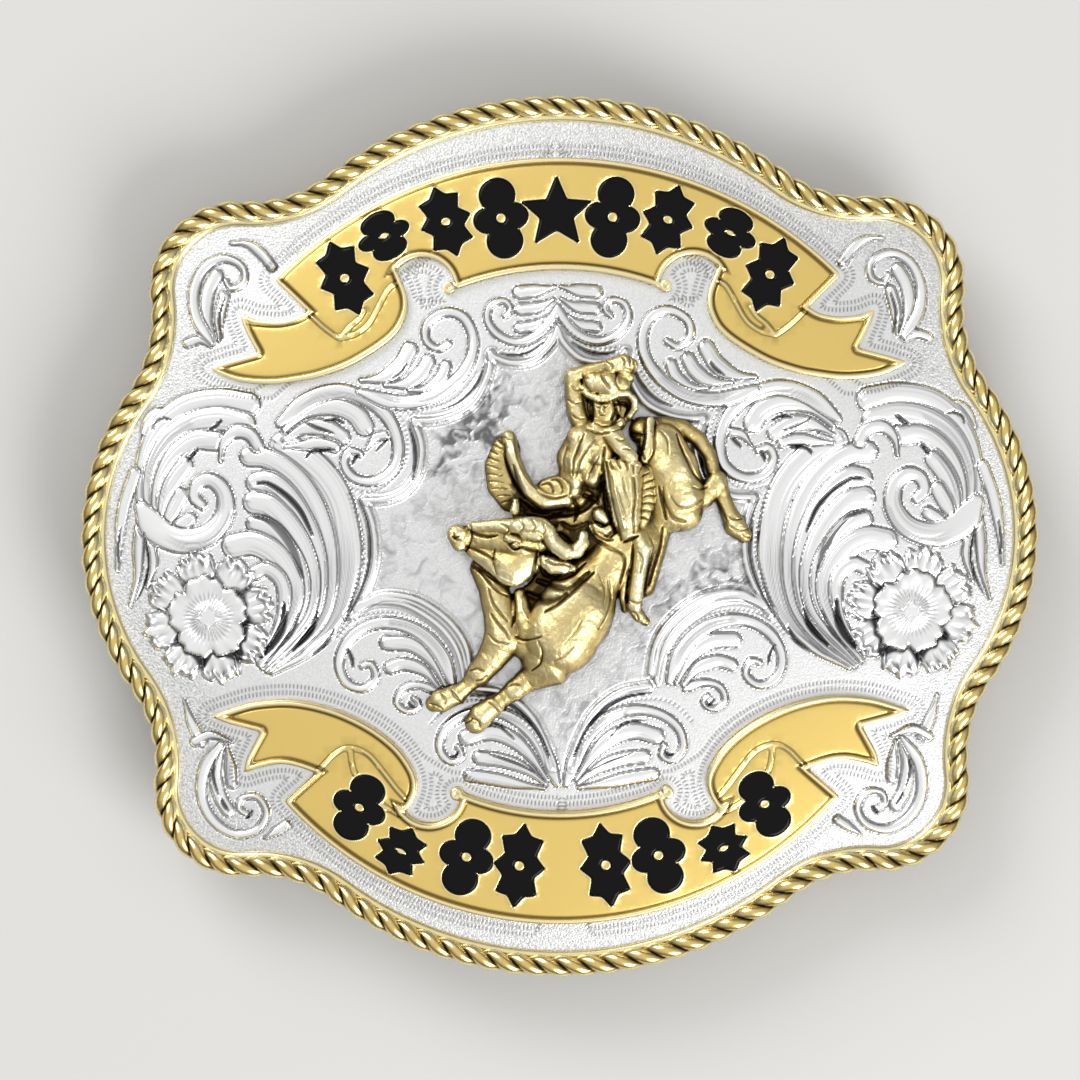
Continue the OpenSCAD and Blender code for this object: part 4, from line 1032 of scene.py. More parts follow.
# Height above the plate's face, and how dark and how pale the ribbon is there; the pale is painted highlight
# on the rim, the fold ridges and the pocket lips
def ribbonHeight(row, placed, px, py):
    look, rimW = ribbonLook, ribbonLook["rimW"]
    d = ribbonField({**row, "down": 1}, px, py)
    rim = np.sqrt(np.clip(1 - ((d - rimW / 2) / (rimW / 2)) ** 2, 0, 1))
    rimLine = np.exp(-((d - rimW - 0.12) / 0.13) ** 2)
    f = foldDistance(row, px, py)
    inner = smooth(rimW * 0.6, rimW * 1.1, d)
    ridge = smooth(0.22, 0.06, f) * inner
    foldLine = np.exp(-((f - 0.30) / 0.09) ** 2) * inner
    h = look["face"] + look["rim"] * rim ** 0.7 - 0.09 * rimLine + look["fold"] * ridge - 0.06 * foldLine
    dark = np.clip(0.95 * rimLine + 0.8 * foldLine, 0, 1)
    # the raised rim and the fold ridges are painted pale as a highlight
    pale = np.clip(rim ** 0.5 + 0.6 * ridge, 0, 1)
    for loops in placed:
        allPts = np.vstack(loops)
        lo, hi = allPts.min(0) - 0.6, allPts.max(0) + 0.6
        near = (px > lo[0]) & (px < hi[0]) & (py > lo[1]) & (py < hi[1])
        if not near.any():
            continue
        m = loopsField(loops, px[near], py[near])
        lip = smooth(-0.34, -0.2, m)
        pocket = (look["pocket"] + look["lip"]) * smooth(-0.07, -0.02, m)
        h[near] = h[near] * (1 - lip) + (look["face"] + look["lip"]) * lip - pocket
        # the lip round each pocket is painted pale as a highlight
        pale[near] = np.maximum(pale[near], lip)
        dark[near] = np.maximum(dark[near] * (1 - lip), smooth(-0.05, 0.0, m))
    # the side falls straight to the seat
    h = np.where(d < 0.02, look["face"] - 0.1, h)
    return h, dark, pale


# The enamel of one motif: a soft pillow that fills its pocket
def buildInlay(name, motif, turned):
    look = ribbonLook
    rims = [smoothLoop(loop, 0.16, 0) for loop in motif] + localContours(motif, (0.03, 0.09, 0.18, 0.34))
    xy, tri, _ = cdt(*numbered(rims))
    middle = xy[tri].mean(1)
    tri = tri[loopsField(motif, middle[:, 0], middle[:, 1]) > 0]
    m = loopsField(motif, xy[:, 0], xy[:, 1])
    top = look["face"] + look["enamel"] * np.sqrt(np.clip(m / 0.3, 0, 1)) - 0.02
    verts, faces, _ = closeDown(xy, top, tri, look["face"] - look["pocket"] + 0.08)
    verts = verts * turned
    return makeMesh(name, verts, faces, normals=sheetNormals(verts, faces[0]))


def buildRibbon(name, row, items):
    placed = [placedMotif(row, item) for item in items]
    turned = [-1, -1, 1] if row["down"] < 0 else [1, 1, 1]
    fine = ribbonLook["step"]
    xs, ys = np.arange(-39, 39.01, fine), np.arange(15, 42.01, fine)
    mx, my = np.meshgrid(xs, ys)
    f = ribbonField({**row, "down": 1}, mx, my)
    fold = np.where(f > 0.3, -foldDistance(row, mx, my), -5)
    loops = []
    for values, levels in ((f, (0.0, 0.08, 0.2, 0.32, 0.44, 0.54, 0.63, 0.74, 0.86, 1.0)),
                           (fold, (-0.42, -0.3, -0.18, -0.06))):
        for level in levels:
            loops += [smoothLoop(loop, 0.3) for loop in contour(values, xs[0], ys[0], fine, level)]
    outer = max(loops[:3], key=len)
    for motif in placed:
        loops += localContours(motif, (-0.34, -0.2, -0.08, -0.02))
    free = np.column_stack([mx[::6, ::6].ravel(), my[::6, ::6].ravel()])
    free = free[f[::6, ::6].ravel() > 1.2]
    points, ids = numbered(loops)
    xy, tri, _ = cdt(np.vstack([points, free]), ids, lambda x, y: inPolygon(np.column_stack([x, y]), outer))
    h, dark, pale = ribbonHeight(row, placed, xy[:, 0], xy[:, 1])
    verts, faces, shades = closeDown(xy, h, tri, ribbonLook["seat"], {"dark": dark, "pale": pale})
    verts = verts * turned
    obj = makeMesh(name + "_metal", verts, faces, shades, sheetNormals(verts, faces[0]))
    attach(obj, "root")
    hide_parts(name)
    inlays = []
    for i, motif in enumerate(placed):
        cad = f"{name.split('_')[0]}_inlay_{i + 1}"
        o = buildInlay(cad + "_enamel", motif, turned)
        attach(o, "root")
        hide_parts(cad)
        inlays.append(o)
    return obj, inlays


topRibbon, topEnamel = buildRibbon("top_ribbon", ribbons["top"], topInlays)
bottomRibbon, bottomEnamel = buildRibbon("bottom_ribbon", ribbons["bottom"], lowInlays)
stage("ribbons and inlays")

# The rope: two strands twisted round each other
rope = {
    "strandR": 0.77,     # mm
    "offset": 0.43,      # mm, from the rope's middle to each strand's middle
    "turns": 62,         # full turns round the buckle
    "rings": 16,         # rings to a turn
    "sides": 16,         # corners of a strand's section
    "lift": 0.45,        # mm, the rope's middle above the plate's face
}


def buildRope():
    n = rope["turns"] * rope["rings"] // 4 + 1
    base = onDome(ring(size["ropeD"] / 2, n)[0], rope["lift"])
    up = unit(base - np.array([0, 0, ballZ]))
    side = np.cross(unit(np.roll(base, -1, 0) - np.roll(base, 1, 0)), up)
    seg = np.linalg.norm(np.roll(base, -1, 0) - base, axis=1)
    s = np.concatenate([[0], np.cumsum(seg)[:-1]]) / seg.sum()
    a = 2 * np.pi * np.arange(rope["sides"]) / rope["sides"]
    verts, faces = [], []
    for strand in (0, 1):
        turn = np.pi * strand - 2 * np.pi * rope["turns"] * s
        out = np.cos(turn)[:, None] * side + np.sin(turn)[:, None] * up
        centre = base + rope["offset"] * out
        tangent = unit(np.roll(centre, -1, 0) - np.roll(centre, 1, 0))
        v = unit(np.cross(tangent, out))
        u = np.cross(v, tangent)
        hoops = (centre[:, None, :] + rope["strandR"] * (np.cos(a)[None, :, None] * u[:, None, :]
                                                         + np.sin(a)[None, :, None] * v[:, None, :]))
        verts.append(hoops.reshape(-1, 3))
        faces.append(ringQuads(len(base), rope["sides"], closed=True) + strand * len(verts[0]))
    verts = np.vstack(verts)
    # how deep in the valley between the strands a point lies, and how far to the rope's side; the valley away
    # from the sides is painted dark as shade, and the sides are painted pale as a highlight
    off = verts - np.repeat(np.vstack([base, base]), rope["sides"], axis=0)
    dist = np.linalg.norm(off, axis=1)
    aside = np.abs(np.sum(off * np.repeat(np.vstack([side, side]), rope["sides"], axis=0), axis=1))
    # painted shade in the valleys and painted highlight on the sides
    return verts, faces, {"dark": smooth(1.03, 0.88, dist) * smooth(0.9, 0.6, aside),
                          "pale": smooth(0.5, 0.95, aside)}


ropeObj = makeMesh("rope", *buildRope())
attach(ropeObj, "root")
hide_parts("rope_edge")


# The fine bright bead inside the rope
beadLook = {
    "points": 260,      # to a quarter of the outline
    # mm inward from the buckle's edge and mm above the plate's face
    "section": [(1.95, 0.0), (2.0, 0.36), (2.16, 0.47), (2.38, 0.50), (2.6, 0.42), (2.76, 0.24),
                (2.82, -0.2)],
}


def buildBead():
    verts = np.vstack([onDome(ring(ins, beadLook["points"])[0], h) for ins, h in beadLook["section"]])
    faces = [ringQuads(len(beadLook["section"]), 4 * beadLook["points"], closed=True)]
    return verts, faces, {"pale": np.ones(len(verts)), "dark": np.zeros(len(verts))}


bead = makeMesh("inner_bead", *buildBead())
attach(bead, "root")
stage("rope and bead")


# The bull and rider: a cast in half relief, worked out as heights over the dome.
# Limbs: [blend, fullness, then balls of x, y, height of the middle, radius], in mm, back to front
figureLimbs = [
    # low metal between the rider and the bull
    [0.4, 0.45, -3.89, 2.91, 0.5, 1.05, -1.79, 2.39, 0.6, 1.36, 0.56, 2.52, 0.7, 1.57, 2.92, 3.17, 0.8, 1.73,
     4.49, 2.65, 0.9, 1.31],
    [0.4, 0.45, 2.92, 5, 0.8, 1.36, 3.97, 3.96, 0.9, 1.47],
    [0.4, 0.45, 2.92, 0.56, 0.8, 1.57, 4.49, -0.23, 0.9, 1.31],
    [0.3, 0.5, -5.06, 7.36, 0.8, 1.15, -4.41, 5, 0.8, 1.26, -3.62, 3.7, 0.7, 1.05],
    # hair and collar behind the face
    [0.3, 0.6, 2.9, 14.69, 2.0, 1.05, 2.95, 12.9, 2.2, 1.1, 3.6, 11.5, 2.3, 1.05],
    [0.3, 0.6, 6.5, 13.9, 2.3, 1.1, 6.7, 12.8, 2.3, 0.95, 5.93, 11.75, 2.3, 0.95],
    # tail
    [0.2, 0.9, 8.94, 11.02, 1, 1.57, 11.03, 11.68, 1.1, 0.89, 12.99, 11.34, 1, 0.89, 14.7, 10.11, 0.9, 0.86,
     15.87, 8.41, 0.8, 0.79, 16.21, 6.84, 0.8, 0.73],
    # flank behind the rider's leg
    [0.5, 0.8, 10.38, 5.53, 0.8, 1.31, 10.38, 1.34, 0.9, 1.62, 9.72, -2.06, 0.8, 1.36, 8.94, -5.46, 0.7, 1.1],
    # rump and thigh
    [0.5, 0.85, 10.12, 10.5, 1, 1.62, 10.77, 9.19, 1.3, 2.56, 11.82, 6.84, 1.5, 2.93, 12.73, 4.22, 1.3, 2.56,
     12.99, 2.52, 1, 2.15],
    [0.5, 0.85, 11.03, 5, 1.2, 2.36, 11.82, 2.39, 1, 2.09],
    # gaskin, hock, hind cannon and hoof
    [0.45, 0.9, 12.86, 3.43, 1.1, 1.83, 15.09, 3.96, 1, 1.26, 16.58, 5.53, 0.9, 1.1],
    [0.3, 0.9, 16.66, 5.79, 0.9, 0.99, 17.26, 3.96, 0.8, 0.84, 17.89, 2.26, 0.8, 0.94, 18.36, 1.34, 0.8, 1.1],
    [0.15, 0.9, 18.62, 0.82, 0.9, 1.2, 19.41, -0.02, 0.8, 0.89],
    # barrel and shoulder
    [0.6, 0.75, 7.89, -0.23, 1, 2.75, 5.54, -2.58, 1.3, 2.49, 3.83, -4.68, 1.5, 2.62, 1.87, -7.56, 1.6, 3.93,
     0.04, -10.44, 1.5, 4.13, -1.27, -12.27, 1.2, 3.14],
    [0.6, 0.8, 2.66, -3.89, 1.6, 1.83, 3.97, -6.51, 1.6, 1.96, 2.92, -9.39, 1.4, 2.36],
    # neck behind the ear and the dark hollow before the shoulder
    [0.3, 0.3, 1.35, -0.49, 0.9, 2.2, -0.74, -5.46, 0.5, 2.36, -2.84, -6.51, 0.5, 1.57],
    [0.4, 0.5, 3.83, -0.23, 1.2, 1.36, 4.49, -2.58, 1.2, 1.57],
    # throat, dewlap and chest
    [0.35, 0.85, -8.33, -3.37, 0.8, 1.18, -7.03, -5.46, 0.9, 1.62, -6.37, -8.08, 1, 1.78,
     -5.85, -10.44, 1.2, 2.15],
    [0.3, 0.9, -4.28, -6.12, 1.4, 0.68, -4.09, -8.08, 1.7, 1.05, -3.1, -9.91, 1.8, 1.57,
     -3.62, -11.48, 1.4, 1.62],
    # left foreleg
    [0.4, 0.9, -6.11, -10.96, 1.2, 2.04, -7.29, -12.79, 1.1, 1.62, -8.54, -14.36, 1, 1.31],
    [0.3, 0.9, -8.65, -14.36, 1, 1.26, -9.85, -15.72, 0.9, 0.84, -10.95, -16.59, 0.9, 0.94],
    [0.15, 0.9, -11.08, -16.66, 0.9, 1.05, -12.65, -17.24, 0.9, 1.26, -13.44, -17.55, 0.8, 0.89],
    # right foreleg
    [0.4, 0.9, -1.27, -13.58, 1.2, 2.49, -3.49, -15.15, 1, 1.36, -4.93, -16.25, 1, 1.05],
    [0.3, 0.9, -4.93, -16.25, 1, 1.1, -6.24, -17.19, 0.9, 0.84, -7.08, -17.82, 0.9, 0.99],
    [0.15, 0.9, -7.23, -17.92, 1, 1.1, -8.39, -18.81, 1, 1.36, -8.99, -19.59, 0.9, 1.2],
    # rider's far leg in its wide chap, hair first
    [0.15, 0.5, -5.59, 9.19, 1.2, 1.52, -6.24, 7.36, 1, 1.62, -6.11, 5.4, 1, 1.52, -5.32, 3.7, 1, 1.1],
    [0.15, 0.9, -5.25, 10.45, 1.8, 0.73, -4.93, 8.67, 2.1, 0.73, -4.15, 6.58, 2.2, 0.73,
     -3.1, 4.74, 2.2, 0.84, -1.53, 3.7, 2, 0.89, 0.56, 3.96, 1.6, 0.99],
    # hip and shirt tail
    [0.3, 0.8, -1.27, 5, 1.4, 1.15, 0.04, 5.4, 1.7, 1.1, 1.35, 5, 1.7, 1.05],
    # trunk
    [0.4, 0.8, 1.35, 6.05, 2, 1.36, 1.61, 8.15, 2.6, 1.88, 2.66, 9.72, 2.9, 2.04, 3.97, 10.76, 2.8, 1.62],
    [0.4, 0.8, 3.44, 6.58, 2, 1.57, 3.97, 8.67, 2.7, 1.73, 4.75, 9.98, 2.9, 1.41],
    # raised arm
    [0.2, 0.9, 2.4, 11.29, 2.8, 0.94, 1.74, 13.12, 3, 0.94, 1.56, 14.95, 3.1, 0.89, 1.48, 16.65, 3.2, 0.89],
    [0.2, 0.9, 1.56, 16.73, 3.2, 0.84, 3.18, 17.25, 3.5, 0.68, 5.27, 17.67, 3.7, 0.68],
    # hand on the hat
    [0.2, 0.9, 5.54, 17.57, 3.8, 0.89, 6.84, 18.04, 4, 0.89, 7.63, 17.7, 3.9, 0.73],
    [0.1, 0.9, 6.84, 17.04, 3.7, 0.79, 7.37, 16.52, 3.6, 0.63],
    # head and face
    [0.25, 0.75, 4.2, 13.35, 2.9, 1.2, 5.3, 13.3, 2.9, 1.2],
    [0.25, 0.75, 4.35, 12.75, 2.9, 1.05, 5.15, 12.7, 2.9, 1.05],
    [0.2, 0.8, 4.7, 12.15, 3.0, 0.7, 4.85, 12.05, 3.0, 0.66],
    [0.08, 0.9, 4.6, 13.43, 3.75, 0.21, 4.5, 12.91, 3.95, 0.29],
    # neck cloth
    [0.15, 0.9, 3.7, 11.34, 3, 0.68, 5.01, 11.23, 3.2, 0.68, 6.37, 11.76, 3, 0.58],
    # hat crown
    [0.25, 0.8, 3.7, 16, 3.6, 1.2, 5.27, 15.73, 3.9, 1.26, 6.58, 15.73, 3.6, 0.94],
    # hat brim
    [0.08, 0.7, 1.74, 16.52, 3.4, 0.31, 2.29, 15.47, 3.6, 0.34, 3.05, 14.69, 3.9, 0.37, 4.1, 14.22, 4.1, 0.39,
     5.27, 14.3, 4.2, 0.39, 6.32, 14.74, 4.2, 0.37, 7.24, 14.74, 4.1, 0.34, 7.84, 14.16, 3.9, 0.37,
     7.94, 13.25, 3.6, 0.37, 7.37, 12.46, 3.2, 0.31],
    # riding arm
    [0.2, 0.9, 5.54, 10.5, 3.3, 1.15, 6.45, 9.19, 3.5, 0.94, 7.42, 8.15, 3.4, 0.84],
    # flank strap
    [0.08, 0.6, 9.59, 12.02, 2.3, 0.44, 9.51, 10.5, 2.9, 0.44, 9.33, 9.19, 3, 0.44, 8.94, 7.88, 2.8, 0.42],
    # rope round the barrel, hand and rigging
    [0.1, 0.7, 3.34, 0.95, 2.3, 0.34, 4.1, -0.1, 2.4, 0.34, 5.54, -0.88, 2.4, 0.34, 6.84, -1.59, 2.4, 0.37,
     7.16, -2.85, 2.3, 0.37, 6.71, -4.68, 2.1, 0.37, 6.53, -6.51, 1.8, 0.34, 6.74, -7.82, 1.4, 0.34],
    [0.1, 0.9, 4.18, 2.18, 2.8, 0.68, 4.88, 1.6, 2.6, 0.47],
    [0.1, 0.8, 3.83, 0.95, 2.4, 0.42, 4.75, 0.43, 2.6, 0.42, 5.54, 0.95, 2.5, 0.37],
    # chaps
    [0.25, 0.6, 7.11, 6.58, 3.1, 1.73, 6.84, 4.22, 3.4, 1.73, 6.98, 1.86, 3.3, 1.47, 7.16, 0.43, 3, 1.05],
    [0.2, 0.6, 5.54, 7.23, 3.1, 0.89, 5.67, 5, 3.3, 0.79, 6.11, 2.91, 3.2, 0.73],
    [0.15, 0.6, 8.81, 6.05, 2.7, 1.2, 8.94, 3.96, 2.6, 1.1, 8.55, 1.86, 2.5, 0.89, 8.15, 0.56, 2.4, 0.68],
    # shin and boot
    [0.25, 0.9, 8.28, -0.23, 2.6, 0.94, 8.73, -1.28, 2.8, 0.99, 8.28, -3.37, 2.6, 0.89,
     7.94, -5.46, 2.4, 0.84, 7.84, -7.3, 2.2, 0.79],
    [0.2, 0.9, 7.63, -7.43, 2.1, 0.68, 8.28, -8.47, 2, 0.68, 8.94, -9.07, 1.7, 0.47],
    # head of the bull: skull and jaw
    [0.5, 0.6, -2.32, 0.16, 3, 1.88, -4.15, 0.03, 3.2, 2.09, -6.24, 0.08, 3, 1.67, -8.07, 0.19, 2.8, 1.36,
     -9.51, 0.16, 2.6, 1.15],
    [0.45, 0.55, -3.89, -2.45, 2.8, 1.94, -4.93, -3.24, 2.8, 2.04, -6.89, -2.19, 2.5, 1.57,
     -8.86, -1.15, 2.3, 1.15],
    # muzzle
    [0.15, 0.7, -10.74, 0.24, 3, 1.05, -10.48, -0.7, 2.8, 0.84],
    # nose bridge and brow
    [0.4, 0.8, -9.12, 1.03, 3.3, 0.52, -7.03, 1.18, 3.7, 0.63, -4.93, 1.03, 4.2, 0.79],
    [0.1, 0.9, -5.32, -0.15, 4.5, 0.47, -4.2, -0.44, 4.4, 0.37],
    # eye
    [0.04, 0.9, -4.72, -0.94, 4.45, 0.29, -4.57, -0.99, 4.45, 0.26],
    # curls between the horns
    [0.12, 0.9, -4.41, 1.03, 4.5, 0.79, -3.23, 1.21, 4.7, 0.89, -2.05, 1.03, 4.6, 0.89,
     -1.14, 0.43, 4.4, 0.79],
    [0.1, 0.9, -3.62, 0.29, 4.5, 0.63, -2.32, 0.03, 4.6, 0.63],
    # horn
    [0.1, 0.95, -1.14, 0.16, 4.2, 0.79, -0.48, -0.88, 4.4, 0.89, 0.56, -1.67, 4.5, 0.84,
     1.74, -1.59, 4.5, 0.73, 2.4, -0.75, 4.5, 0.63, 2.45, 0.03, 4.4, 0.52],
    # ear
    [0.08, 0.7, -1.79, -2.58, 3.5, 0.63, -0.74, -3.06, 3.8, 0.89, 0.3, -3.16, 3.8, 0.84,
     1.35, -3.37, 3.5, 0.37],
    # far horn's tip
    [0.1, 0.95, -4.62, 2.7, 3.4, 0.52, -4.51, 3.64, 3.4, 0.34],
]
# Grooves: [width, depth, darkness, then lines of x, y], in mm. The first two rows, with little or no depth,
# are broad strokes of painted shade over the bull's barrel and the rider's trunk
figureCreasesAndShade = [
    [2.6, 0, 0.16, [4.6, -4, 3, -8, 0.6, -12]],
    [0.8, 0.02, 0.6, [3.4, 9.2, 3.9, 6.6, 4.5, 4]],
    [0.32, 0.05, 0.45, [1.0, 9.8, 0.9, 7.4, 1.4, 5]],
    [0.3, 0.05, 0.5, [2.1, 10.2, 2.0, 7.8, 2.5, 5.2]],
    [0.16, 0.3, 0.9, [-9.51, 0.77, -8.6, 0.24, -7.55, -0.02, -6.5, 0.08], [-5.06, -5.59, -4.8, -6.77,
     -4.72, -8.08, -5.06, -9.39], [7.63, 9.72, 8.15, 9.19, 8.81, 8.93]],
    [0.12, 0.25, 0.9, [-9.77, -1.01, -8.99, -1.28, -7.81, -1.85, -6.76, -2.45]],
    [0.1, 0.22, 0.9, [-9.33, 1.34, -9.12, 0.29, -9.43, -0.88, -9.9, -1.67]],
    [0.14, 0.3, 0.9, [-5.59, -0.49, -5.06, -1.01, -4.41, -1.28, -3.89, -1.15], [-1.79, -0.49, -1.14, -1.28,
     -0.74, -2.06, 0.3, -2.58, 1.61, -2.58, 2.66, -2.06], [4.75, 9.19, 4.62, 8.15, 4.49, 6.84], [7.63, -1.01,
     7.58, -2.85, 7.32, -4.94, 7.05, -7.03], [9.46, -1.54, 9.15, -3.37, 8.81, -5.46, 8.55, -7.3]],
    [0.12, 0.25, 0.8, [-5.32, 0.16, -4.67, 0.24, -4.09, -0.1, -3.89, -0.62], [2.92, 11.02, 3.97, 10.63,
     5.27, 10.63], [10.12, 11.81, 9.98, 10.24, 9.85, 8.67, 9.33, 7.62]],
    [0.16, 0.3, 0.8, [-3.89, -1.15, -3.1, -1.41, -2.32, -1.59]],
    [0.12, 0.2, 0.7, [-6.76, -1.28, -6.97, -2.58, -6.63, -3.89], [-7.55, -5.46, -7.03, -7.03, -6.24, -8.08,
     -5.46, -8.87], [-7.29, -8.08, -6.5, -9.13, -5.72, -9.91, -5.32, -10.7], [-7.55, -10.17, -6.76, -10.96,
     -5.46, -11.22], [16.66, 3.43, 17.18, 2.39, 17.57, 1.34]],
    [0.16, 0.35, 0.95, [-2.32, -1.59, -2.58, -2.85, -2.84, -4.15, -3.62, -5.07, -4.67, -5.41], [-2.05, -2.06,
     -2, -3.11, -1.53, -4.02, -0.22, -4.55, 1.35, -4.02, 2.66, -2.85], [8.15, -0.1, 7.5, -0.36, 6.71, -0.7]],
    [0.15, 0.35, 0.95, [-4.67, -5.41, -5.98, -4.94, -7.55, -4.02, -9.12, -3.11, -9.77, -2.32]],
    [0.1, 0.25, 0.9, [-11.08, 0.43, -10.82, -0.23, -10.3, -0.36], [3.83, 11.68, 4.62, 11.34, 5.54, 11.49,
     6.58, 12.07]],
    [0.1, 0.16, 0.7, [-6.11, 1.34, -5.32, 0.82, -5.46, 0.16]],
    [0.09, 0.15, 0.7, [-4.02, 1.6, -3.75, 0.95, -4.15, 0.43], [-2.84, 1.73, -2.52, 1.03, -2.89, 0.43],
     [-1.66, 1.34, -1.53, 0.56, -1.92, -0.02], [-3.49, -0.23, -2.84, -0.44, -2.05, -0.49], [-5.85, 10.5,
     -5.51, 10.19, -4.98, 10.24]],
    [0.12, 0.28, 0.9, [-1.53, -2.45, -0.74, -2.9, 0.3, -2.9, 1.09, -3.16], [4.62, 10.24, 5.27, 9.19,
     6.19, 8.15, 6.84, 7.62]],
    [0.35, 0.45, 1, [-2.32, -4.68, -0.74, -5.2, 0.83, -5.46, 2.92, -3.89]],
    [0.4, 0.45, 0.95, [-3.62, -5.99, -2.32, -6.51, -0.74, -6.77, 0.56, -5.99]],
    [0.25, 0.35, 0.9, [-1.53, -7.82, -0.22, -7.03, 1.35, -5.72, 3.44, -3.89]],
    [0.12, 0.2, 0.8, [-8.6, -3.37, -7.55, -4.68, -6.5, -5.72, -5.46, -6.25]],
    [0.14, 0.25, 0.8, [-4.67, -10.44, -3.89, -10.83, -2.84, -10.7, -2.05, -10.44], [-2.32, -10.96,
     -1.92, -12.01, -2.18, -13.31, -3.1, -14.1], [8.99, 11.81, 8.89, 10.24, 8.55, 8.67], [10.77, 0.82,
     10.51, -1.28, 9.85, -3.37, 9.33, -5.2]],
    [0.1, 0.15, 0.6, [0.83, -10.7, 1.61, -9.91, 2.13, -8.87]],
    [0.1, 0.15, 0.5, [-0.74, -13.05, 0.3, -12.53, 1.35, -11.48]],
    [0.12, 0.2, 0.6, [5.01, -4.68, 5.27, -6.51, 4.75, -8.34, 3.97, -9.65]],
    [0.1, 0.12, 0.5, [3.97, -3.89, 4.62, -5.46, 4.49, -7.03], [10.51, 11.02, 11.29, 9.98, 11.42, 8.41]],
    [0.1, 0.18, 0.8, [-9.51, -14.1, -8.86, -13.84, -8.07, -14.1], [-8.99, -15.15, -8.33, -15.02,
     -7.81, -14.62], [-11.47, -16.06, -11.08, -16.72, -10.43, -17.5], [-5.46, -15.67, -4.93, -15.54,
     -4.28, -15.67], [-7.55, -17.37, -6.89, -17.76, -6.5, -18.42], [17.71, 1.86, 18.36, 1.6, 19.14, 1.6]],
    [0.09, 0.18, 0.8, [-13.83, -17.5, -13.18, -17.63, -12.52, -18.02], [-9.38, -19.07, -8.73, -19.33,
     -8.54, -20.12], [-10.04, -19.59, -9.59, -19.39, -9.38, -19.07], [6.58, 18.48, 6.84, 18.09, 6.71, 17.57],
     [7.24, 18.48, 7.5, 18.04, 7.37, 17.51], [7.84, 18.04, 7.89, 17.44, 7.63, 16.91]],
    [0.09, 0.14, 0.6, [-12.52, -16.45, -12.13, -16.98, -12.26, -17.76], [19.14, 0.16, 19.67, -0.23,
     20.24, -0.36]],
    [0.09, 0.18, 0.7, [17.97, 0.82, 18.62, 0.43, 19.8, 0.56], [1.35, 15.73, 1.74, 15.21, 2.66, 15.08],
     [0.96, 14.16, 1.61, 13.77, 2.26, 13.9], [1.35, 12.59, 1.87, 12.2, 2.66, 12.2]],
    [0.22, 0.35, 0.9, [12.34, 10.5, 12.73, 9.19, 13.39, 7.62, 14.17, 6.18, 15.09, 5.4]],
    [0.12, 0.18, 0.6, [11.56, 3.96, 12.34, 2.91, 13.65, 2.91, 14.96, 3.7], [13.91, 5, 14.7, 4.74, 15.61, 5]],
    [0.14, 0.25, 0.7, [10.77, 5, 11.03, 3.43, 11.82, 1.86, 13.13, 1.34]],
    [0.18, 0.35, 0.95, [10.38, 5, 10.77, 3.43, 11.16, 1.6]],
    [0.08, 0.13, 0.8, [-7.55, 9.19, -7.03, 8.93, -6.37, 8.54], [-7.76, 8.41, -7.03, 8.15, -6.24, 7.83],
     [-7.6, 7.49, -6.89, 7.31, -6.11, 7.1], [-7.55, 6.58, -6.76, 6.5, -5.93, 6.37], [-7.42, 5.79, -6.63, 5.79,
     -5.72, 5.66], [-7.08, 5, -6.37, 5.06, -5.46, 5], [-6.63, 4.22, -5.98, 4.35, -5.06, 4.27], [-6.11, 3.49,
     -5.59, 3.7, -4.8, 3.64], [-7.08, 9.77, -6.5, 9.4, -5.93, 9.14], [-6.5, 10.29, -6.11, 9.92, -5.66, 9.45]],
    [0.14, 0.3, 0.95, [-5.66, 9.72, -5.51, 7.88, -4.8, 6.05, -3.89, 4.48, -2.84, 3.43], [4.88, 7.62,
     5.14, 6.05, 5.41, 3.96, 5.93, 1.6, 6.45, -0.49], [2.92, 0.82, 3.49, -0.23, 4.88, -1.15, 6.45, -1.93,
     6.74, -3.11, 6.32, -4.94]],
    [0.1, 0.2, 0.7, [-4.54, 9.19, -4.15, 7.62, -3.23, 5.92, -2.05, 4.61], [5.93, 10.11, 6.45, 9.85,
     6.84, 9.98], [6.53, 8.93, 7, 9.06, 7.37, 8.88], [8.15, -1.8, 8.55, -2.58, 8.41, -3.89]],
    [0.4, 0.5, 1, [-4.15, 3.7, -2.84, 2.65, -1.27, 2.26, 0.56, 2.91]],
    [0.45, 0.5, 1, [-0.74, 2.65, 0.83, 2.52, 2.4, 2.91, 3.44, 3.96]],
    [0.4, 0.45, 1, [2.66, 4.22, 3.7, 3.96, 4.23, 5, 4.49, 6.05]],
    [0.2, 0.35, 0.9, [1.35, 3.96, 1.87, 2.91, 1.61, 1.6]],
    [0.12, 0.3, 0.9, [-2.18, 4.74, -1.53, 4.22, -0.48, 3.96, 0.83, 4.22], [6.84, 11.02, 7.63, 9.72,
     8.55, 8.67, 8.94, 7.88]],
    [0.1, 0.25, 0.8, [-1.79, 5.4, -1.14, 5.53, -0.74, 5.14, -0.61, 4.48], [-0.74, 5.92, -0.09, 5.79,
     0.25, 5.21, 0.3, 4.48], [0.3, 6.05, 0.88, 5.66, 1.14, 5, 1.09, 4.35]],
    [0.11, 0.25, 0.9, [2.66, 10.63, 2, 9.19, 1.48, 7.62, 1.4, 6.31]],
    [0.11, 0.22, 0.8, [3.83, 9.98, 2.92, 8.93, 2.13, 7.62, 1.74, 6.05], [4.49, 16.65, 4.75, 16, 5.27, 15.21],
     [6.06, 16.91, 5.93, 16, 6.32, 15.21]],
    [0.1, 0.18, 0.7, [0.83, 9.19, 0.43, 7.88, 0.56, 6.58], [4.1, 8.15, 3.44, 7.1, 2.92, 5.79]],
    [0.09, 0.16, 0.6, [2.4, 16.78, 2.66, 16.39, 3.18, 16.26]],
    [0.11, 0.22, 0.9, [2.66, 16.26, 2.92, 15.47, 3.44, 14.95]],
    [0.09, 0.16, 0.7, [5.01, 18.09, 5.54, 17.7, 5.54, 17.17]],
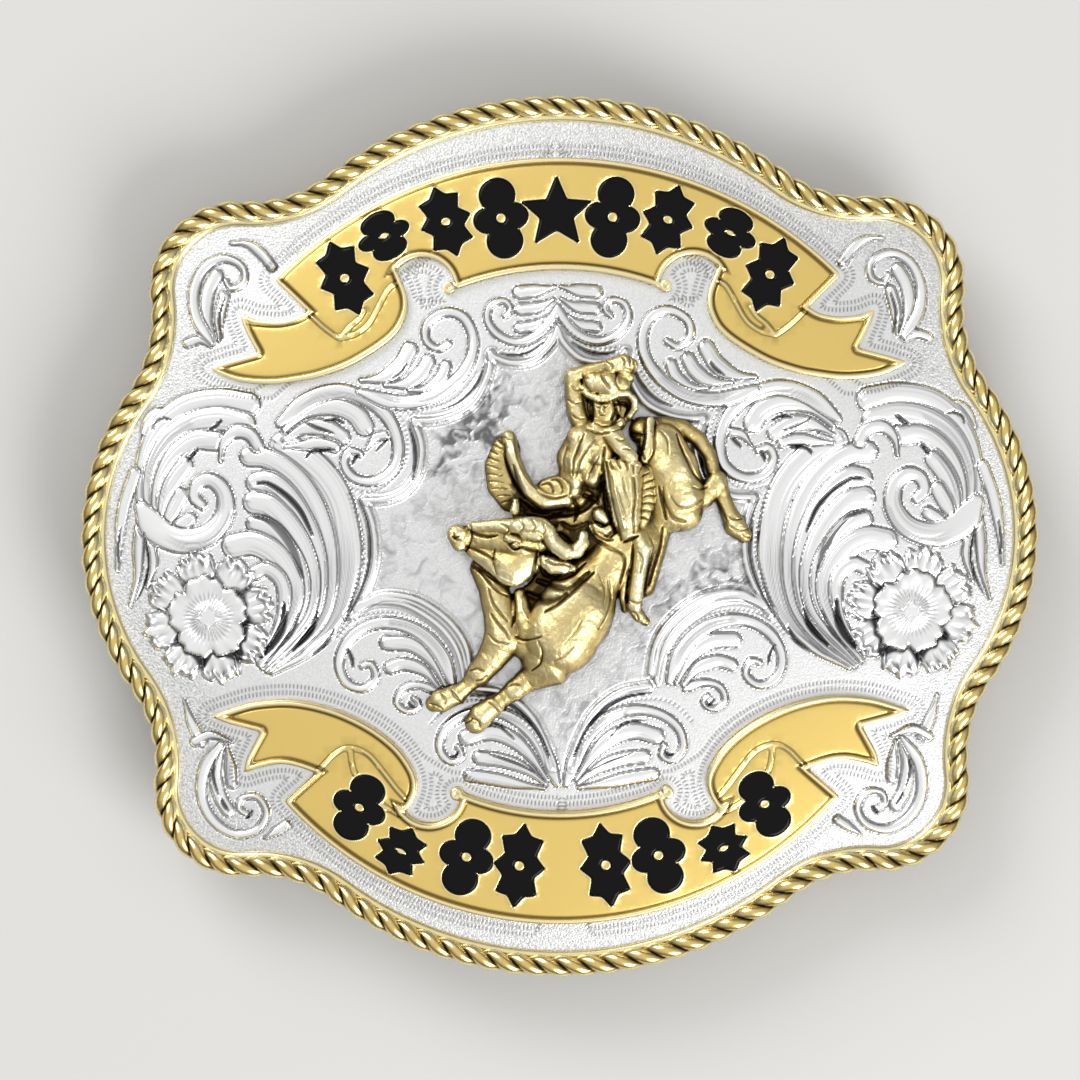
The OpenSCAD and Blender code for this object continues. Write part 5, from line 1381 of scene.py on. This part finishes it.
    [0.16, 0.35, 1, [2.92, 14.3, 3.44, 13.77, 3.57, 12.86, 3.44, 11.94], [5.93, 13.12, 6.19, 12.2,
     5.54, 11.68]],
    [0.2, 0.4, 1, [5.93, 13.64, 6.84, 13.77, 7.37, 13.25, 6.98, 12.46], [7.11, 11.02, 7.76, 10.63,
     8.68, 10.5]],
    [0.1, 0.2, 0.8, [6.84, 11.81, 6.58, 11.15, 5.54, 10.76], [7.24, -6.77, 7.76, -7.03, 8.47, -6.9],
     [7.37, -7.95, 7.89, -8.21, 8.15, -8.87]],
    [0.12, 0.25, 0.85, [7.76, 6.05, 7.89, 3.96, 7.63, 1.86, 7.76, 0.29]],
    [0.09, 0.2, 0.8, [5.27, 7.75, 5.41, 7.23, 5.67, 6.84], [6.06, 7.88, 6.19, 7.36, 6.45, 6.84], [6.84, 7.75,
     7.05, 7.23, 7.16, 6.71], [7.63, 7.49, 7.76, 6.97, 7.76, 6.44], [8.81, 7.36, 8.47, 6.84, 8.28, 6.44],
     [9.46, 6.58, 8.94, 6.31, 8.55, 6.05], [9.85, 5.79, 9.33, 5.66, 8.81, 5.4], [10.04, 5, 9.46, 4.95,
     8.89, 4.74], [10.04, 4.09, 9.46, 4.17, 8.81, 4.01], [9.93, 3.17, 9.33, 3.38, 8.73, 3.3], [9.67, 2.39,
     9.15, 2.6, 8.55, 2.6], [9.33, 1.6, 8.81, 1.86, 8.28, 1.86]],
    [0.08, 0.14, 0.6, [5.93, 5, 6.32, 3.43, 6.84, 1.86], [6.58, 6.05, 6.84, 4.48, 7.24, 2.91]],
    [0.08, 0.12, 0.5, [6.53, 1.86, 6.64, 1.73, 6.79, 1.66]],
    [0.12, 0.3, 0.95, [3.83, 1.34, 4.49, 0.95, 5.27, 1.34, 5.8, 0.43, 5.27, -0.23], [3.31, 1.34, 3.57, 0.29,
     4.49, -0.36, 5.54, -0.49]],
    [0.14, 0.35, 1, [4.75, 5, 4.88, 3.43, 5.14, 1.86, 5.93, 0.29]],
    [0.08, 0.15, 0.6, [7.89, -9.13, 8.55, -9.44, 9.07, -9.39]],
    [0.09, 0.3, 1, [-5.14, -0.8, -4.93, -1.28, -4.46, -1.35, -4.15, -1.07]],
    [0.08, 0.25, 1, [-5.14, -0.75, -4.72, -0.54, -4.2, -0.75]],
    [0.11, 0.3, 1, [-11.21, 0.08, -10.9, -0.12, -10.53, 0.03]],
    [0.07, 0.18, 0.9, [3.91, 13.38, 4.1, 13.3, 4.28, 13.35], [4.65, 13.38, 4.86, 13.33, 5.06, 13.41]],
    [0.06, 0.14, 0.8, [4.18, 12.52, 4.49, 12.46, 4.83, 12.54]],
    [0.08, 0.2, 0.8, [3.83, 13.85, 4.49, 13.75, 5.27, 13.88]],
    [0.18, 0.3, 1, [3.49, 14.03, 3.29, 13.12, 3.49, 11.94]],
    [0.2, 0.35, 1, [5.75, 13.85, 5.93, 12.99, 5.54, 12.07]],
    [0.3, 0.3, 1, [0.3, 1.34, 1.35, 0.82, 2.92, 1.34], [2.66, 5.53, 3.49, 4.61, 4.1, 3.43]],
    [0.22, 0.3, 0.9, [0.04, 0.29, 0.83, -0.49, 1.35, -1.28]],
    [0.35, 0.3, 1, [-3.62, 2.52, -1.79, 2.18, 0.3, 2.18, 2.4, 2.65, 3.83, 3.7]],
    [0.25, 0.3, 1, [-4.8, 7.36, -4.28, 5.53, -3.62, 3.96]],
]
# Fine raised lines: [width, rise, then x, y], in mm
figureRidges = [
    [0.12, 0.16, -1.79, -3.58, -1.01, -3.97, 0.04, -4.1, 1.48, -3.53],
    [0.12, 0.15, -9.85, -2.27, -8.6, -3.37, -6.76, -4.36, -5.19, -5.2],
    [0.1, 0.12, -6.76, -4.02, -4.93, -4.94, -3.49, -4.81, -2.71, -3.63],
    [0.14, 0.14, -11.47, 0.82, -10.69, 1.13, -9.9, 0.69, -9.77, -0.23, -10.3, -1.01],
    [0.1, 0.12, -5.06, -0.49, -4.67, -0.44, -4.28, -0.7],
    [0.1, 0.12, 2.92, 0.29, 4.49, -1.01, 6.32, -1.67, 6.9, -2.58],
    [0.12, 0.14, 4.75, 7.75, 6.06, 7.99, 7.63, 7.57, 9.07, 7.05],
    [0.12, 0.16, 1.35, 16.91, 2.92, 17.51, 5.27, 17.93],
    [0.1, 0.12, -4.15, -6.25, -3.89, -7.82, -3.1, -9.13],
    [0.14, 0.12, -4.93, 10.24, -4.51, 8.41, -3.62, 6.44, -2.32, 4.87, -0.74, 4.22],
    [0.1, 0.12, 5.54, 6.58, 5.85, 4.48, 6.32, 2.39, 6.79, 0.29],
    [0.1, 0.1, 7.37, 6.05, 7.52, 3.96, 7.32, 1.86],
]

figureLook = {
    "step": 0.10,       # mm between the figure's grid points
    "quickStep": 0.2,
    "seat": 0.12,       # mm, underside above the plate's face
    "fineness": 0.035,  # mm, height of the cast skin's small bumps
}


def smoothMax(a, b, k):
    return np.maximum(a, b) + k / 4 * np.clip(1 - np.abs(a - b) / k, 0, None) ** 2


# Box blur of n cells each way, run a few times
def blur(f, n, times=2):
    wide = 2 * n + 1
    for _ in range(times):
        for axis in (0, 1):
            pad = [(0, 0), (0, 0)]
            pad[axis] = (n + 1, n)
            c = np.cumsum(np.pad(f, pad, mode="edge"), axis=axis)
            f = ((c[wide:] - c[:-wide]) if axis == 0 else (c[:, wide:] - c[:, :-wide])) / wide
    return f


def buildFigure():
    s = figureLook["step"]
    xs, ys = np.arange(-16, 22, s), np.arange(-22.5, 20.5, s)
    mx, my = np.meshgrid(xs, ys)
    tops = np.full(mx.shape, -3.0)      # mm above the plate's face
    shape = np.full(mx.shape, -3.0)     # mm inside the figure's outline
    dark = np.zeros(mx.shape)

    def near(run):
        line = spline(np.reshape(run, (-1, 2)), 0.25)
        w = gridWindow(xs, ys, line, 1.0)
        return w, *lineDistance(mx[w], my[w], line)

    for blend, full, *balls in figureLimbs:
        balls = np.reshape(balls, (-1, 4))
        w = gridWindow(xs, ys, balls[:, :2], balls[:, 3].max() + 1.0)
        px, py = mx[w], my[w]
        best = np.full(px.shape, -9.0)
        height = np.full(px.shape, -9.0)
        for a, b in zip(balls[:-1], balls[1:]):
            way = b[:2] - a[:2]
            t = np.clip(((px - a[0]) * way[0] + (py - a[1]) * way[1]) / max(way @ way, 1e-9), 0, 1)
            r = a[3] + (b[3] - a[3]) * t
            z = a[2] + (b[2] - a[2]) * t
            d = np.hypot(px - a[0] - t * way[0], py - a[1] - t * way[1])
            best = np.maximum(best, r - d)
            bulge = full * np.sqrt(np.clip(r * r - d * d, 0, None))
            height = np.maximum(height, np.where(d < r, z + bulge, -9))
        shape[w] = smoothMax(shape[w], best, 0.35)
        covered = height > -5
        dark[w] *= 1 - smooth(-0.1, 0.25, height - tops[w]) * covered
        tops[w] = np.where(covered, smoothMax(tops[w], height, blend), tops[w])
    # fill what only the blended outline covers
    tops = np.where(tops < -1, 0.6, tops)
    # grooves darkened as patina, and broad strokes of painted shade
    for width, depth, darkness, *lines in figureCreasesAndShade:
        for run in lines:
            w, d, share, side = near(run)
            wide = width * (0.45 + 0.55 * np.sin(np.pi * np.clip(share, 0.02, 0.98)) ** 0.6)
            g = np.exp(-(d / wide) ** 2)
            tops[w] -= depth * g
            dark[w] = np.maximum(dark[w], darkness * g)
    for width, rise, *run in figureRidges:
        w, d, share, side = near(run)
        g = np.exp(-(d / width) ** 2) * smooth(0, 0.1, share) * smooth(1, 0.9, share)
        tops[w] += rise * g
        dark[w] *= 1 - g
    # cast skin: small soft bumps, and dark where the metal is deep, as patina and as painted shade in the
    # hollows
    tops += figureLook["fineness"] * (lattice(mx, my, 3, 0.55) + 0.7 * lattice(mx + 5, my, 4, 0.28))
    inside = shape > 0
    base, weight = np.where(inside, tops, 0.0), inside.astype(float)
    cavity = 0
    for reach, gain in ((0.5, 2.2), (1.4, 0.9)):
        n = int(round(reach / s))
        mean = blur(base, n) / np.maximum(blur(weight, n), 1e-3)
        cavity = cavity + gain * np.clip(mean - tops, -0.5, 1.2)
    low = 0.75 * smooth(2.2, 0.9, tops) * smooth(0.5, 1.6, shape)
    dark = np.clip(np.maximum(dark, low) + np.clip(cavity - 0.05, 0, 1) * 0.9, 0, 1)
    # pale on the high places: partly rubbed wear, partly painted highlight
    pale = np.clip(-cavity * 0.9, 0, 1)
    tops = np.maximum(tops, 0.35)
    cell = inside[:-1, :-1] | inside[:-1, 1:] | inside[1:, :-1] | inside[1:, 1:]
    # corners outside the outline move onto it
    gy, gx = np.gradient(shape, s)
    move = np.where(~inside, -shape / np.maximum(gx * gx + gy * gy, 0.04), 0)
    px = mx + np.clip(gx * move, -s, s)
    py = my + np.clip(gy * move, -s, s)
    tops = np.where(inside, tops, np.minimum(tops, blur(np.where(inside, tops, 0.6), 1, 1)))
    used, quads = gridQuads(cell, shape.shape)
    xy = np.column_stack([px[used], py[used]])
    return closeDown(xy, tops[used], quads, figureLook["seat"], {"dark": dark[used], "pale": pale[used]})


figureMesh = buildFigure()
figureObj = makeMesh("bull_and_rider_cast", *figureMesh, sheetNormals(figureMesh[0], figureMesh[1][0]))
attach(figureObj, "root")
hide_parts("bull_and_rider")
stage("figure")


# Belt loop and belt hook behind the plate: bent wire and a peg, soldered on round feet
hardware = {
    "wireR": 1.5,        # mm, the loop's wire
    "barOut": 33.0,      # mm, from the middle out to the loop's bar
    "reach": 17.0,       # mm, from the bar in to the feet
    "half": 21.5,        # mm, from the middle to each arm
    "bend": 3.6,         # mm, radius of the corners
    "footR": 3.0,        # mm, the round feet
    "footT": 1.0,        # mm
    "pegOut": 28.0,      # mm, from the middle out to the peg
    "pegR": 2.0,         # mm
}


# A closed solid turned about the vertical; the profile runs from the top's middle to the bottom's
def lathe(profile, sides=44):
    a = 2 * np.pi * np.arange(sides) / sides
    rows = [np.column_stack([r * np.cos(a), r * np.sin(a), np.full(sides, z)]) for r, z in profile[1:-1]]
    verts = np.vstack([[[0, 0, profile[0][1]]], *rows, [[0, 0, profile[-1][1]]]])
    k = np.arange(sides)
    after = (k + 1) % sides
    last = 1 + (len(rows) - 1) * sides
    tris = np.vstack([np.column_stack([np.zeros(sides, int), 1 + k, 1 + after]),
                      np.column_stack([np.full(sides, last + sides), last + after, last + k])])
    return verts, [1 + ringQuads(len(rows), sides), tris]


# Local points to a place on the plate's back, turned to stand along the dome's normal
def underPlate(verts, x, y):
    n = np.array([x, y, math.sqrt(size["domeR"] ** 2 - x * x - y * y)]) / size["domeR"]
    e1 = np.cross([0, 1.0, 0], n)
    e1 /= np.linalg.norm(e1)
    return onDome([[x, y]], -size["plateT"])[0] + verts @ np.array([e1, np.cross(n, e1), n])


# A round bar along a line of points, with rounded ends
def bar(line, r, sides=22):
    t = unit(np.gradient(line, axis=0))
    side = unit(np.cross(t, [0, 0, 1.0]))
    up = np.cross(side, t)
    a = 2 * np.pi * np.arange(sides) / sides
    hoop = lambda i, out, wide: line[i] + out * r * t[i] + wide * r * (
        np.cos(a)[:, None] * side[i] + np.sin(a)[:, None] * up[i])
    ends = [(0.95, 0.32), (0.7, 0.72), (0.35, 0.94)]
    rings = [hoop(0, -out, wide) for out, wide in ends] + [hoop(i, 0, 1) for i in range(len(line))]
    rings += [hoop(-1, out, wide) for out, wide in ends[::-1]]
    n, k = len(rings), np.arange(sides)
    after = (k + 1) % sides
    verts = np.vstack(rings + [line[:1] - t[:1] * r, line[-1:] + t[-1:] * r])
    tris = np.vstack([
        np.column_stack([np.full(sides, n * sides), k, after]),
        np.column_stack([np.full(sides, n * sides + 1), (n - 1) * sides + after, (n - 1) * sides + k])])
    return verts, [ringQuads(n, sides), tris]


# A foot's profile, with the fillet of solder round its top
def footProfile():
    r, t = hardware["footR"], hardware["footT"]
    return [(0, 0.04), (r + 0.55, 0.04), (r + 0.5, -0.1), (r + 0.18, -0.22), (r, -0.42), (r, -0.7 * t),
            (r - 0.12, -0.9 * t), (r - 0.4, -t), (0, -t - 0.04)]


# The wire is bent in its own plane, with u from the bar in to the feet, then tilted to meet the plate
def buildLoop():
    hw = hardware
    half, bend, wireR = hw["half"], hw["bend"], hw["wireR"]
    footX = -hw["barOut"] + hw["reach"]
    footZ = onDome([[footX, half]], -size["plateT"])[0, 2]
    rise = footZ - hw["footT"] - 0.4 * wireR - wireR
    tilt, length = math.atan2(rise, hw["reach"]), math.hypot(rise, hw["reach"])
    arm = [[u, half] for u in np.linspace(length, bend + 0.5, 8)]
    arc = [[bend * (1 + math.cos(t)), half - bend + bend * math.sin(t)]
           for t in np.linspace(np.pi / 2, np.pi, 12)]
    side = np.array(arm + arc)
    middle = np.column_stack([np.zeros(9), np.linspace(half - bend, bend - half, 11)[1:-1]])
    flat = np.vstack([side, middle, side[::-1] * [1, -1]])
    line = np.column_stack([flat[:, 0] * math.cos(tilt) - hw["barOut"], flat[:, 1],
                            flat[:, 0] * math.sin(tilt) + wireR])
    pieces = [makeMesh("loop_wire", *bar(line, wireR))]
    foot, footFaces = lathe(footProfile())
    # the bead of solder that the wire's end sinks into
    solder, solderFaces = lathe([(0, 0.2), (1.5, 0.1), (2.0, -0.45), (1.9, -0.8), (1.2, -1.05), (0, -1.1)])
    solder = solder * [1.35, 1, 1] + [-0.5, 0, -hw["footT"] + 0.12]
    for suffix, y in (("upper", half), ("lower", -half)):
        pieces.append(makeMesh(f"loop_foot_{suffix}", underPlate(foot, footX, y), footFaces))
        pieces.append(makeMesh(f"loop_solder_{suffix}", underPlate(solder, footX, y), solderFaces))
    return pieces


def buildHook():
    x, r = hardware["pegOut"], hardware["pegR"]
    foot, faces = lathe(footProfile())
    pieces = [makeMesh("hook_foot", underPlate(foot, x, 0), faces)]
    z = onDome([[x, 0]], -size["plateT"])[0, 2] - hardware["footT"]
    # from the foot over the neck to the rounded tip
    peg, faces = lathe([(0, z + 0.3), (r + 0.6, z + 0.3), (r + 0.55, z - 0.05), (r + 0.2, z - 0.2),
                        (r, z - 0.5), (r, z - 1.4), (r - 0.16, z - 1.55), (r - 0.16, z - 1.9),
                        (r, z - 2.05), (r, 0.85), (r - 0.06, 0.5), (r - 0.2, 0.22), (r - 0.5, 0.05),
                        (r - 0.8, 0.0), (0, 0.0)])
    pieces.append(makeMesh("hook_peg", peg + [x, 0, 0], faces))
    return pieces


loopParts, hookParts = buildLoop(), buildHook()
for parts, cadName in ((loopParts, "belt_loop"), (hookParts, "belt_hook")):
    for o in parts:
        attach(o, "root")
        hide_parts(cadName)
stage("belt loop and hook")


# Materials. Shared effects are node groups that give colours, masks and normals.
finish = {
    "silverClean": (0.955, 0.955, 0.95), "silverDark": (0.028, 0.028, 0.032),
    "silverRough": 0.26, "matteRough": 0.46,
    "goldClean": (0.87, 0.64, 0.20), "goldPale": (0.98, 0.86, 0.50), "goldDark": (0.07, 0.035, 0.008),
    "goldRough": 0.30,
    "ropeClean": (0.80, 0.60, 0.22), "ropePale": (0.98, 0.88, 0.52), "ropeDark": (0.03, 0.016, 0.005),
    "ropeRough": 0.24,
    "castClean": (0.70, 0.55, 0.23), "castPale": (0.95, 0.87, 0.56), "castDark": (0.05, 0.03, 0.01),
    "castRough": 0.40,
    "brass": (0.74, 0.57, 0.28), "brassWorn": (0.42, 0.27, 0.11), "brassRough": 0.36,
    "enamel": (0.004, 0.004, 0.004), "enamelRough": 0.06,
}


def material(name, colour, roughness, metallic=1.0):
    mat = bpy.data.materials.new(name)
    mat.use_nodes = True
    shader = mat.node_tree.nodes["Principled BSDF"]
    shader.inputs["Base Color"].default_value = (*colour, 1)
    shader.inputs["Roughness"].default_value = roughness
    shader.inputs["Metallic"].default_value = metallic
    return mat, mat.node_tree, shader


def dress(obj, mat):
    obj.data.materials.clear()
    obj.data.materials.append(mat)


# A socket's constant or link; a colour is a tuple of three
def feed(tree, socket, value):
    if isinstance(value, (int, float)):
        socket.default_value = value
    elif isinstance(value, tuple):
        socket.default_value = (*value, 1)
    elif value is not None:
        tree.links.new(value, socket)


def newGroup(name, inputs, outputs):
    g = bpy.data.node_groups.new(name, "ShaderNodeTree")
    for label, kind, value in inputs:
        socket = g.interface.new_socket(label, in_out="INPUT", socket_type=kind)
        if value is not None:
            socket.default_value = value
    for label, kind in outputs:
        g.interface.new_socket(label, in_out="OUTPUT", socket_type=kind)
    return g, g.nodes.new("NodeGroupInput"), g.nodes.new("NodeGroupOutput")


def calc(tree, op, a, b=None, c=None, clamp=False):
    n = tree.nodes.new("ShaderNodeMath")
    n.operation, n.use_clamp = op, clamp
    for socket, value in zip(n.inputs, (a, b, c)):
        feed(tree, socket, value)
    return n.outputs[0]


def mixColour(tree, factor, a, b):
    n = tree.nodes.new("ShaderNodeMix")
    n.data_type = "RGBA"
    for k, value in ((0, factor), (6, a), (7, b)):
        feed(tree, n.inputs[k], value)
    return n.outputs[2]


def attribute(tree, name):
    n = tree.nodes.new("ShaderNodeAttribute")
    n.attribute_name = name
    return n.outputs["Fac"]


# Places on a piece in millimetres
def millimetres(tree):
    n = tree.nodes.new("ShaderNodeVectorMath")
    n.operation = "SCALE"
    n.inputs["Scale"].default_value = 1000.0
    feed(tree, n.inputs[0], tree.nodes.new("ShaderNodeTexCoord").outputs["Object"])
    return n.outputs[0]


# The grain of cast, brushed or worn metal, in millimetres: its value and the normal that it gives
def buildGrain():
    inputs = {"Scale": 3.0, "Detail": 2.0, "Roughness": 0.5, "Strength": 0.1, "Distance": 0.0001}
    group, start, end = newGroup("grain", [(k, "NodeSocketFloat", v) for k, v in inputs.items()],
                                 [("Value", "NodeSocketFloat"), ("Normal", "NodeSocketVector")])
    pattern, bump = group.nodes.new("ShaderNodeTexNoise"), group.nodes.new("ShaderNodeBump")
    feed(group, pattern.inputs["Vector"], millimetres(group))
    for node, labels in ((pattern, ("Scale", "Detail", "Roughness")), (bump, ("Strength", "Distance"))):
        for label in labels:
            feed(group, node.inputs[label], start.outputs[label])
    feed(group, bump.inputs["Height"], pattern.outputs["Fac"])
    feed(group, end.inputs["Value"], pattern.outputs["Fac"])
    feed(group, end.inputs["Normal"], bump.outputs["Normal"])
    return group


# Gold darkened by the 'dark' attribute, which is patina in grooves and painted shade in hollows and between
# the rope's strands, and lightened by the 'pale' attribute, which is painted highlight on raised edges and
# the rope's sides and partly rubbed wear on the cast's high places
def buildPatinaAndPaintedLight():
    group, start, end = newGroup("patina_and_painted_light", [(k, "NodeSocketColor", None) for k in ("Clean", "Pale", "Dark")],
                                 [("Color", "NodeSocketColor")])
    # the pale mask: painted highlight, and on the cast partly rubbed wear
    rubbedAndHighlight = calc(group, "MULTIPLY", attribute(group, "pale"), 0.85, clamp=True)
    # the dark mask: patina in grooves, and painted shade in hollows, between strands and over parts of the
    # cast
    hollow = calc(group, "MULTIPLY", attribute(group, "dark"), 0.98, clamp=True)
    tone = mixColour(group, rubbedAndHighlight, start.outputs["Clean"], start.outputs["Pale"])
    feed(group, end.inputs["Color"], mixColour(group, hollow, tone, start.outputs["Dark"]))
    return group


grainGroup, patinaAndPaintedLightGroup = buildGrain(), buildPatinaAndPaintedLight()


# A group's outputs, with these constants on its inputs
def use(tree, group, **values):
    n = tree.nodes.new("ShaderNodeGroup")
    n.node_tree = group
    for label, value in values.items():
        feed(tree, n.inputs[label], value)
    return n.outputs


def silverMaterial():
    look = finish
    mat, tree, shader = material("silver", look["silverClean"], look["silverRough"])
    dark, matte = attribute(tree, "dark"), attribute(tree, "matte")
    middle, cloud = attribute(tree, "stage"), attribute(tree, "cloud")
    grain = use(tree, grainGroup, Scale=4.6, Detail=1.0)["Value"]
    speck = use(tree, grainGroup, Scale=9.0, Detail=1.0)["Value"]
    # the stippled ground is a little greyer in its pits
    ground = calc(tree, "MAXIMUM", matte, calc(tree, "MULTIPLY", middle, 0.6))
    pits = calc(tree, "MULTIPLY", calc(tree, "SUBTRACT", 0.66, grain, clamp=True), 1.05)
    pits = calc(tree, "MULTIPLY", ground, pits, clamp=True)
    shade = calc(tree, "MAXIMUM", dark, calc(tree, "MAXIMUM", pits, cloud))
    shade = calc(tree, "MAXIMUM", shade, calc(tree, "MULTIPLY", middle, 0.12))
    shade = calc(tree, "MULTIPLY", shade, 0.97, clamp=True)
    clean = mixColour(tree, ground, look["silverClean"], tuple(0.86 * c for c in look["silverClean"]))
    feed(tree, shader.inputs["Base Color"], mixColour(tree, shade, clean, look["silverDark"]))
    rough = calc(tree, "MULTIPLY_ADD", ground, look["matteRough"] - look["silverRough"], look["silverRough"])
    feed(tree, shader.inputs["Roughness"], rough)
    height = calc(tree, "ADD", grain, calc(tree, "MULTIPLY", speck, 0.4))
    height = calc(tree, "SUBTRACT", height, calc(tree, "MULTIPLY", cloud, 1.6))
    bump = tree.nodes.new("ShaderNodeBump")
    bump.inputs["Distance"].default_value = 0.00012
    feed(tree, bump.inputs["Strength"], calc(tree, "MULTIPLY_ADD", ground, 0.5, 0.03))
    feed(tree, bump.inputs["Height"], height)
    feed(tree, shader.inputs["Normal"], bump.outputs["Normal"])
    return mat


def goldMaterial(name, clean, pale, dark, roughness, grainScale, grainStrength):
    mat, tree, shader = material(name, clean, roughness)
    tone = use(tree, patinaAndPaintedLightGroup, Clean=clean, Pale=pale, Dark=dark)["Color"]
    feed(tree, shader.inputs["Base Color"], tone)
    grain = use(tree, grainGroup, Scale=grainScale, Strength=grainStrength)
    feed(tree, shader.inputs["Normal"], grain["Normal"])
    return mat


def brassMaterial():
    mat, tree, shader = material("back_brass", finish["brass"], finish["brassRough"])
    patches = use(tree, grainGroup, Scale=0.16, Detail=3.0)["Value"]
    spots = use(tree, grainGroup, Scale=1.3, Detail=4.0, Roughness=0.6)["Value"]
    worn = calc(tree, "MULTIPLY", calc(tree, "SUBTRACT", patches, 0.42, clamp=True), 1.6)
    worn = calc(tree, "MULTIPLY", worn, calc(tree, "ADD", spots, 0.35), clamp=True)
    feed(tree, shader.inputs["Base Color"], mixColour(tree, worn, finish["brass"], finish["brassWorn"]))
    grain = use(tree, grainGroup, Scale=3.0, Detail=3.0, Strength=0.12, Distance=0.00008)
    feed(tree, shader.inputs["Normal"], grain["Normal"])
    return mat


def enamelMaterial():
    mat, tree, shader = material("black_enamel", finish["enamel"], finish["enamelRough"], 0.0)
    shader.inputs["Specular IOR Level"].default_value = 0.1
    wave = use(tree, grainGroup, Scale=0.9, Detail=1.0, Strength=0.1, Distance=0.00005)
    feed(tree, shader.inputs["Normal"], wave["Normal"])
    return mat


# Each gold: its name, the name of its colours, roughness, and the grain's scale and strength
goldMat, ropeMat, castMat = (
    goldMaterial(name, *(finish[key + tone] for tone in ("Clean", "Pale", "Dark")), rough, scale, strength)
    for name, key, rough, scale, strength in (
        ("ribbon_gold", "gold", finish["goldRough"], 2.2, 0.05),
        ("rope_gold", "rope", finish["ropeRough"], 2.6, 0.08),
        ("cast_gold", "cast", finish["castRough"], 5.0, 0.42)))
for mat, pieces in ((silverMaterial(), skins), (brassMaterial(), [body] + loopParts + hookParts),
                    (goldMat, [topRibbon, bottomRibbon]), (ropeMat, [ropeObj, bead]), (castMat, [figureObj]),
                    (enamelMaterial(), topEnamel + bottomEnamel)):
    for o in pieces:
        dress(o, mat)
stage("materials")

# Floor, light and camera
studio = {
    "floor": (0.60, 0.595, 0.58), "floorHalf": 2000.0, "floorZ": -0.2,     # mm
    "zenith": 0.84, "upper": 0.73, "low": 0.26, "horizon": 0.12,           # brightness of the surroundings
    "key": 2.4, "keyAt": (-0.34, 0.42, 0.46),                              # watts, metres
    "fill": 3.8, "fillAt": (0.36, -0.42, 0.44), "lampSize": 0.40,
    "lens": 200.0, "sensor": 36, "pixels": 1080,
    "pixel": 0.00010640,                # metres to a pixel of the photograph at the rope's height
    "cameraShift": (-0.00208, -0.00040), "focusZ": 0.0083, "cameraTurn": -0.5,
}
edge, low = studio["floorHalf"], studio["floorZ"]
floor = makeMesh("floor", [[-edge, -edge, low], [edge, -edge, low], [edge, edge, low], [-edge, edge, low]],
                 [[[0, 1, 2, 3]]])
dress(floor, material("floor", studio["floor"], 0.7, 0.0)[0])

world = bpy.data.worlds.new("studio")
bpy.context.scene.world = world
world.use_nodes = True
wn, wl = world.node_tree.nodes, world.node_tree.links
coord = wn.new("ShaderNodeTexCoord")
sep = wn.new("ShaderNodeSeparateXYZ")
ramp = wn.new("ShaderNodeValToRGB")
wl.new(coord.outputs["Generated"], sep.inputs[0])
wl.new(sep.outputs["Z"], ramp.inputs[0])
wl.new(ramp.outputs[0], wn["Background"].inputs[0])
stops = ramp.color_ramp.elements
stops[0].position, stops[0].color = 0.0, (*[studio["horizon"]] * 3, 1)
stops[1].position, stops[1].color = 1.0, (*[studio["zenith"]] * 3, 1)
for height, key in ((0.45, "low"), (0.80, "upper")):
    stops.new(height).color = (*[studio[key]] * 3, 1)


# A square lamp that looks at the buckle
def lamp(name, place, power):
    data = bpy.data.lights.new(name, "AREA")
    data.shape = "RECTANGLE"
    data.size = data.size_y = studio["lampSize"]
    data.energy = power
    obj = bpy.data.objects.new(name, data)
    obj.location = place
    obj.rotation_euler = (-Vector(place)).to_track_quat("-Z", "Y").to_euler()
    bpy.context.scene.collection.objects.link(obj)


lamp("key", studio["keyAt"], studio["key"])
lamp("fill", studio["fillAt"], studio["fill"])

cameraData = bpy.data.cameras.new("camera")
camera = bpy.data.objects.new("camera", cameraData)
bpy.context.scene.collection.objects.link(camera)
bpy.context.scene.camera = camera
cameraData.lens, cameraData.sensor_width = studio["lens"], studio["sensor"]
# the picture is as wide as all of the photograph's pixels at the height of the rope
distance = studio["pixel"] * studio["pixels"] / studio["sensor"] * studio["lens"]
camera.location = (*studio["cameraShift"], studio["focusZ"] + distance)
camera.rotation_euler = (0, 0, math.radians(studio["cameraTurn"]))
cameraData.clip_start, cameraData.clip_end = 0.01, 10
bpy.context.scene.view_settings.view_transform = "Standard"

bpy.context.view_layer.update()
stage("finish")
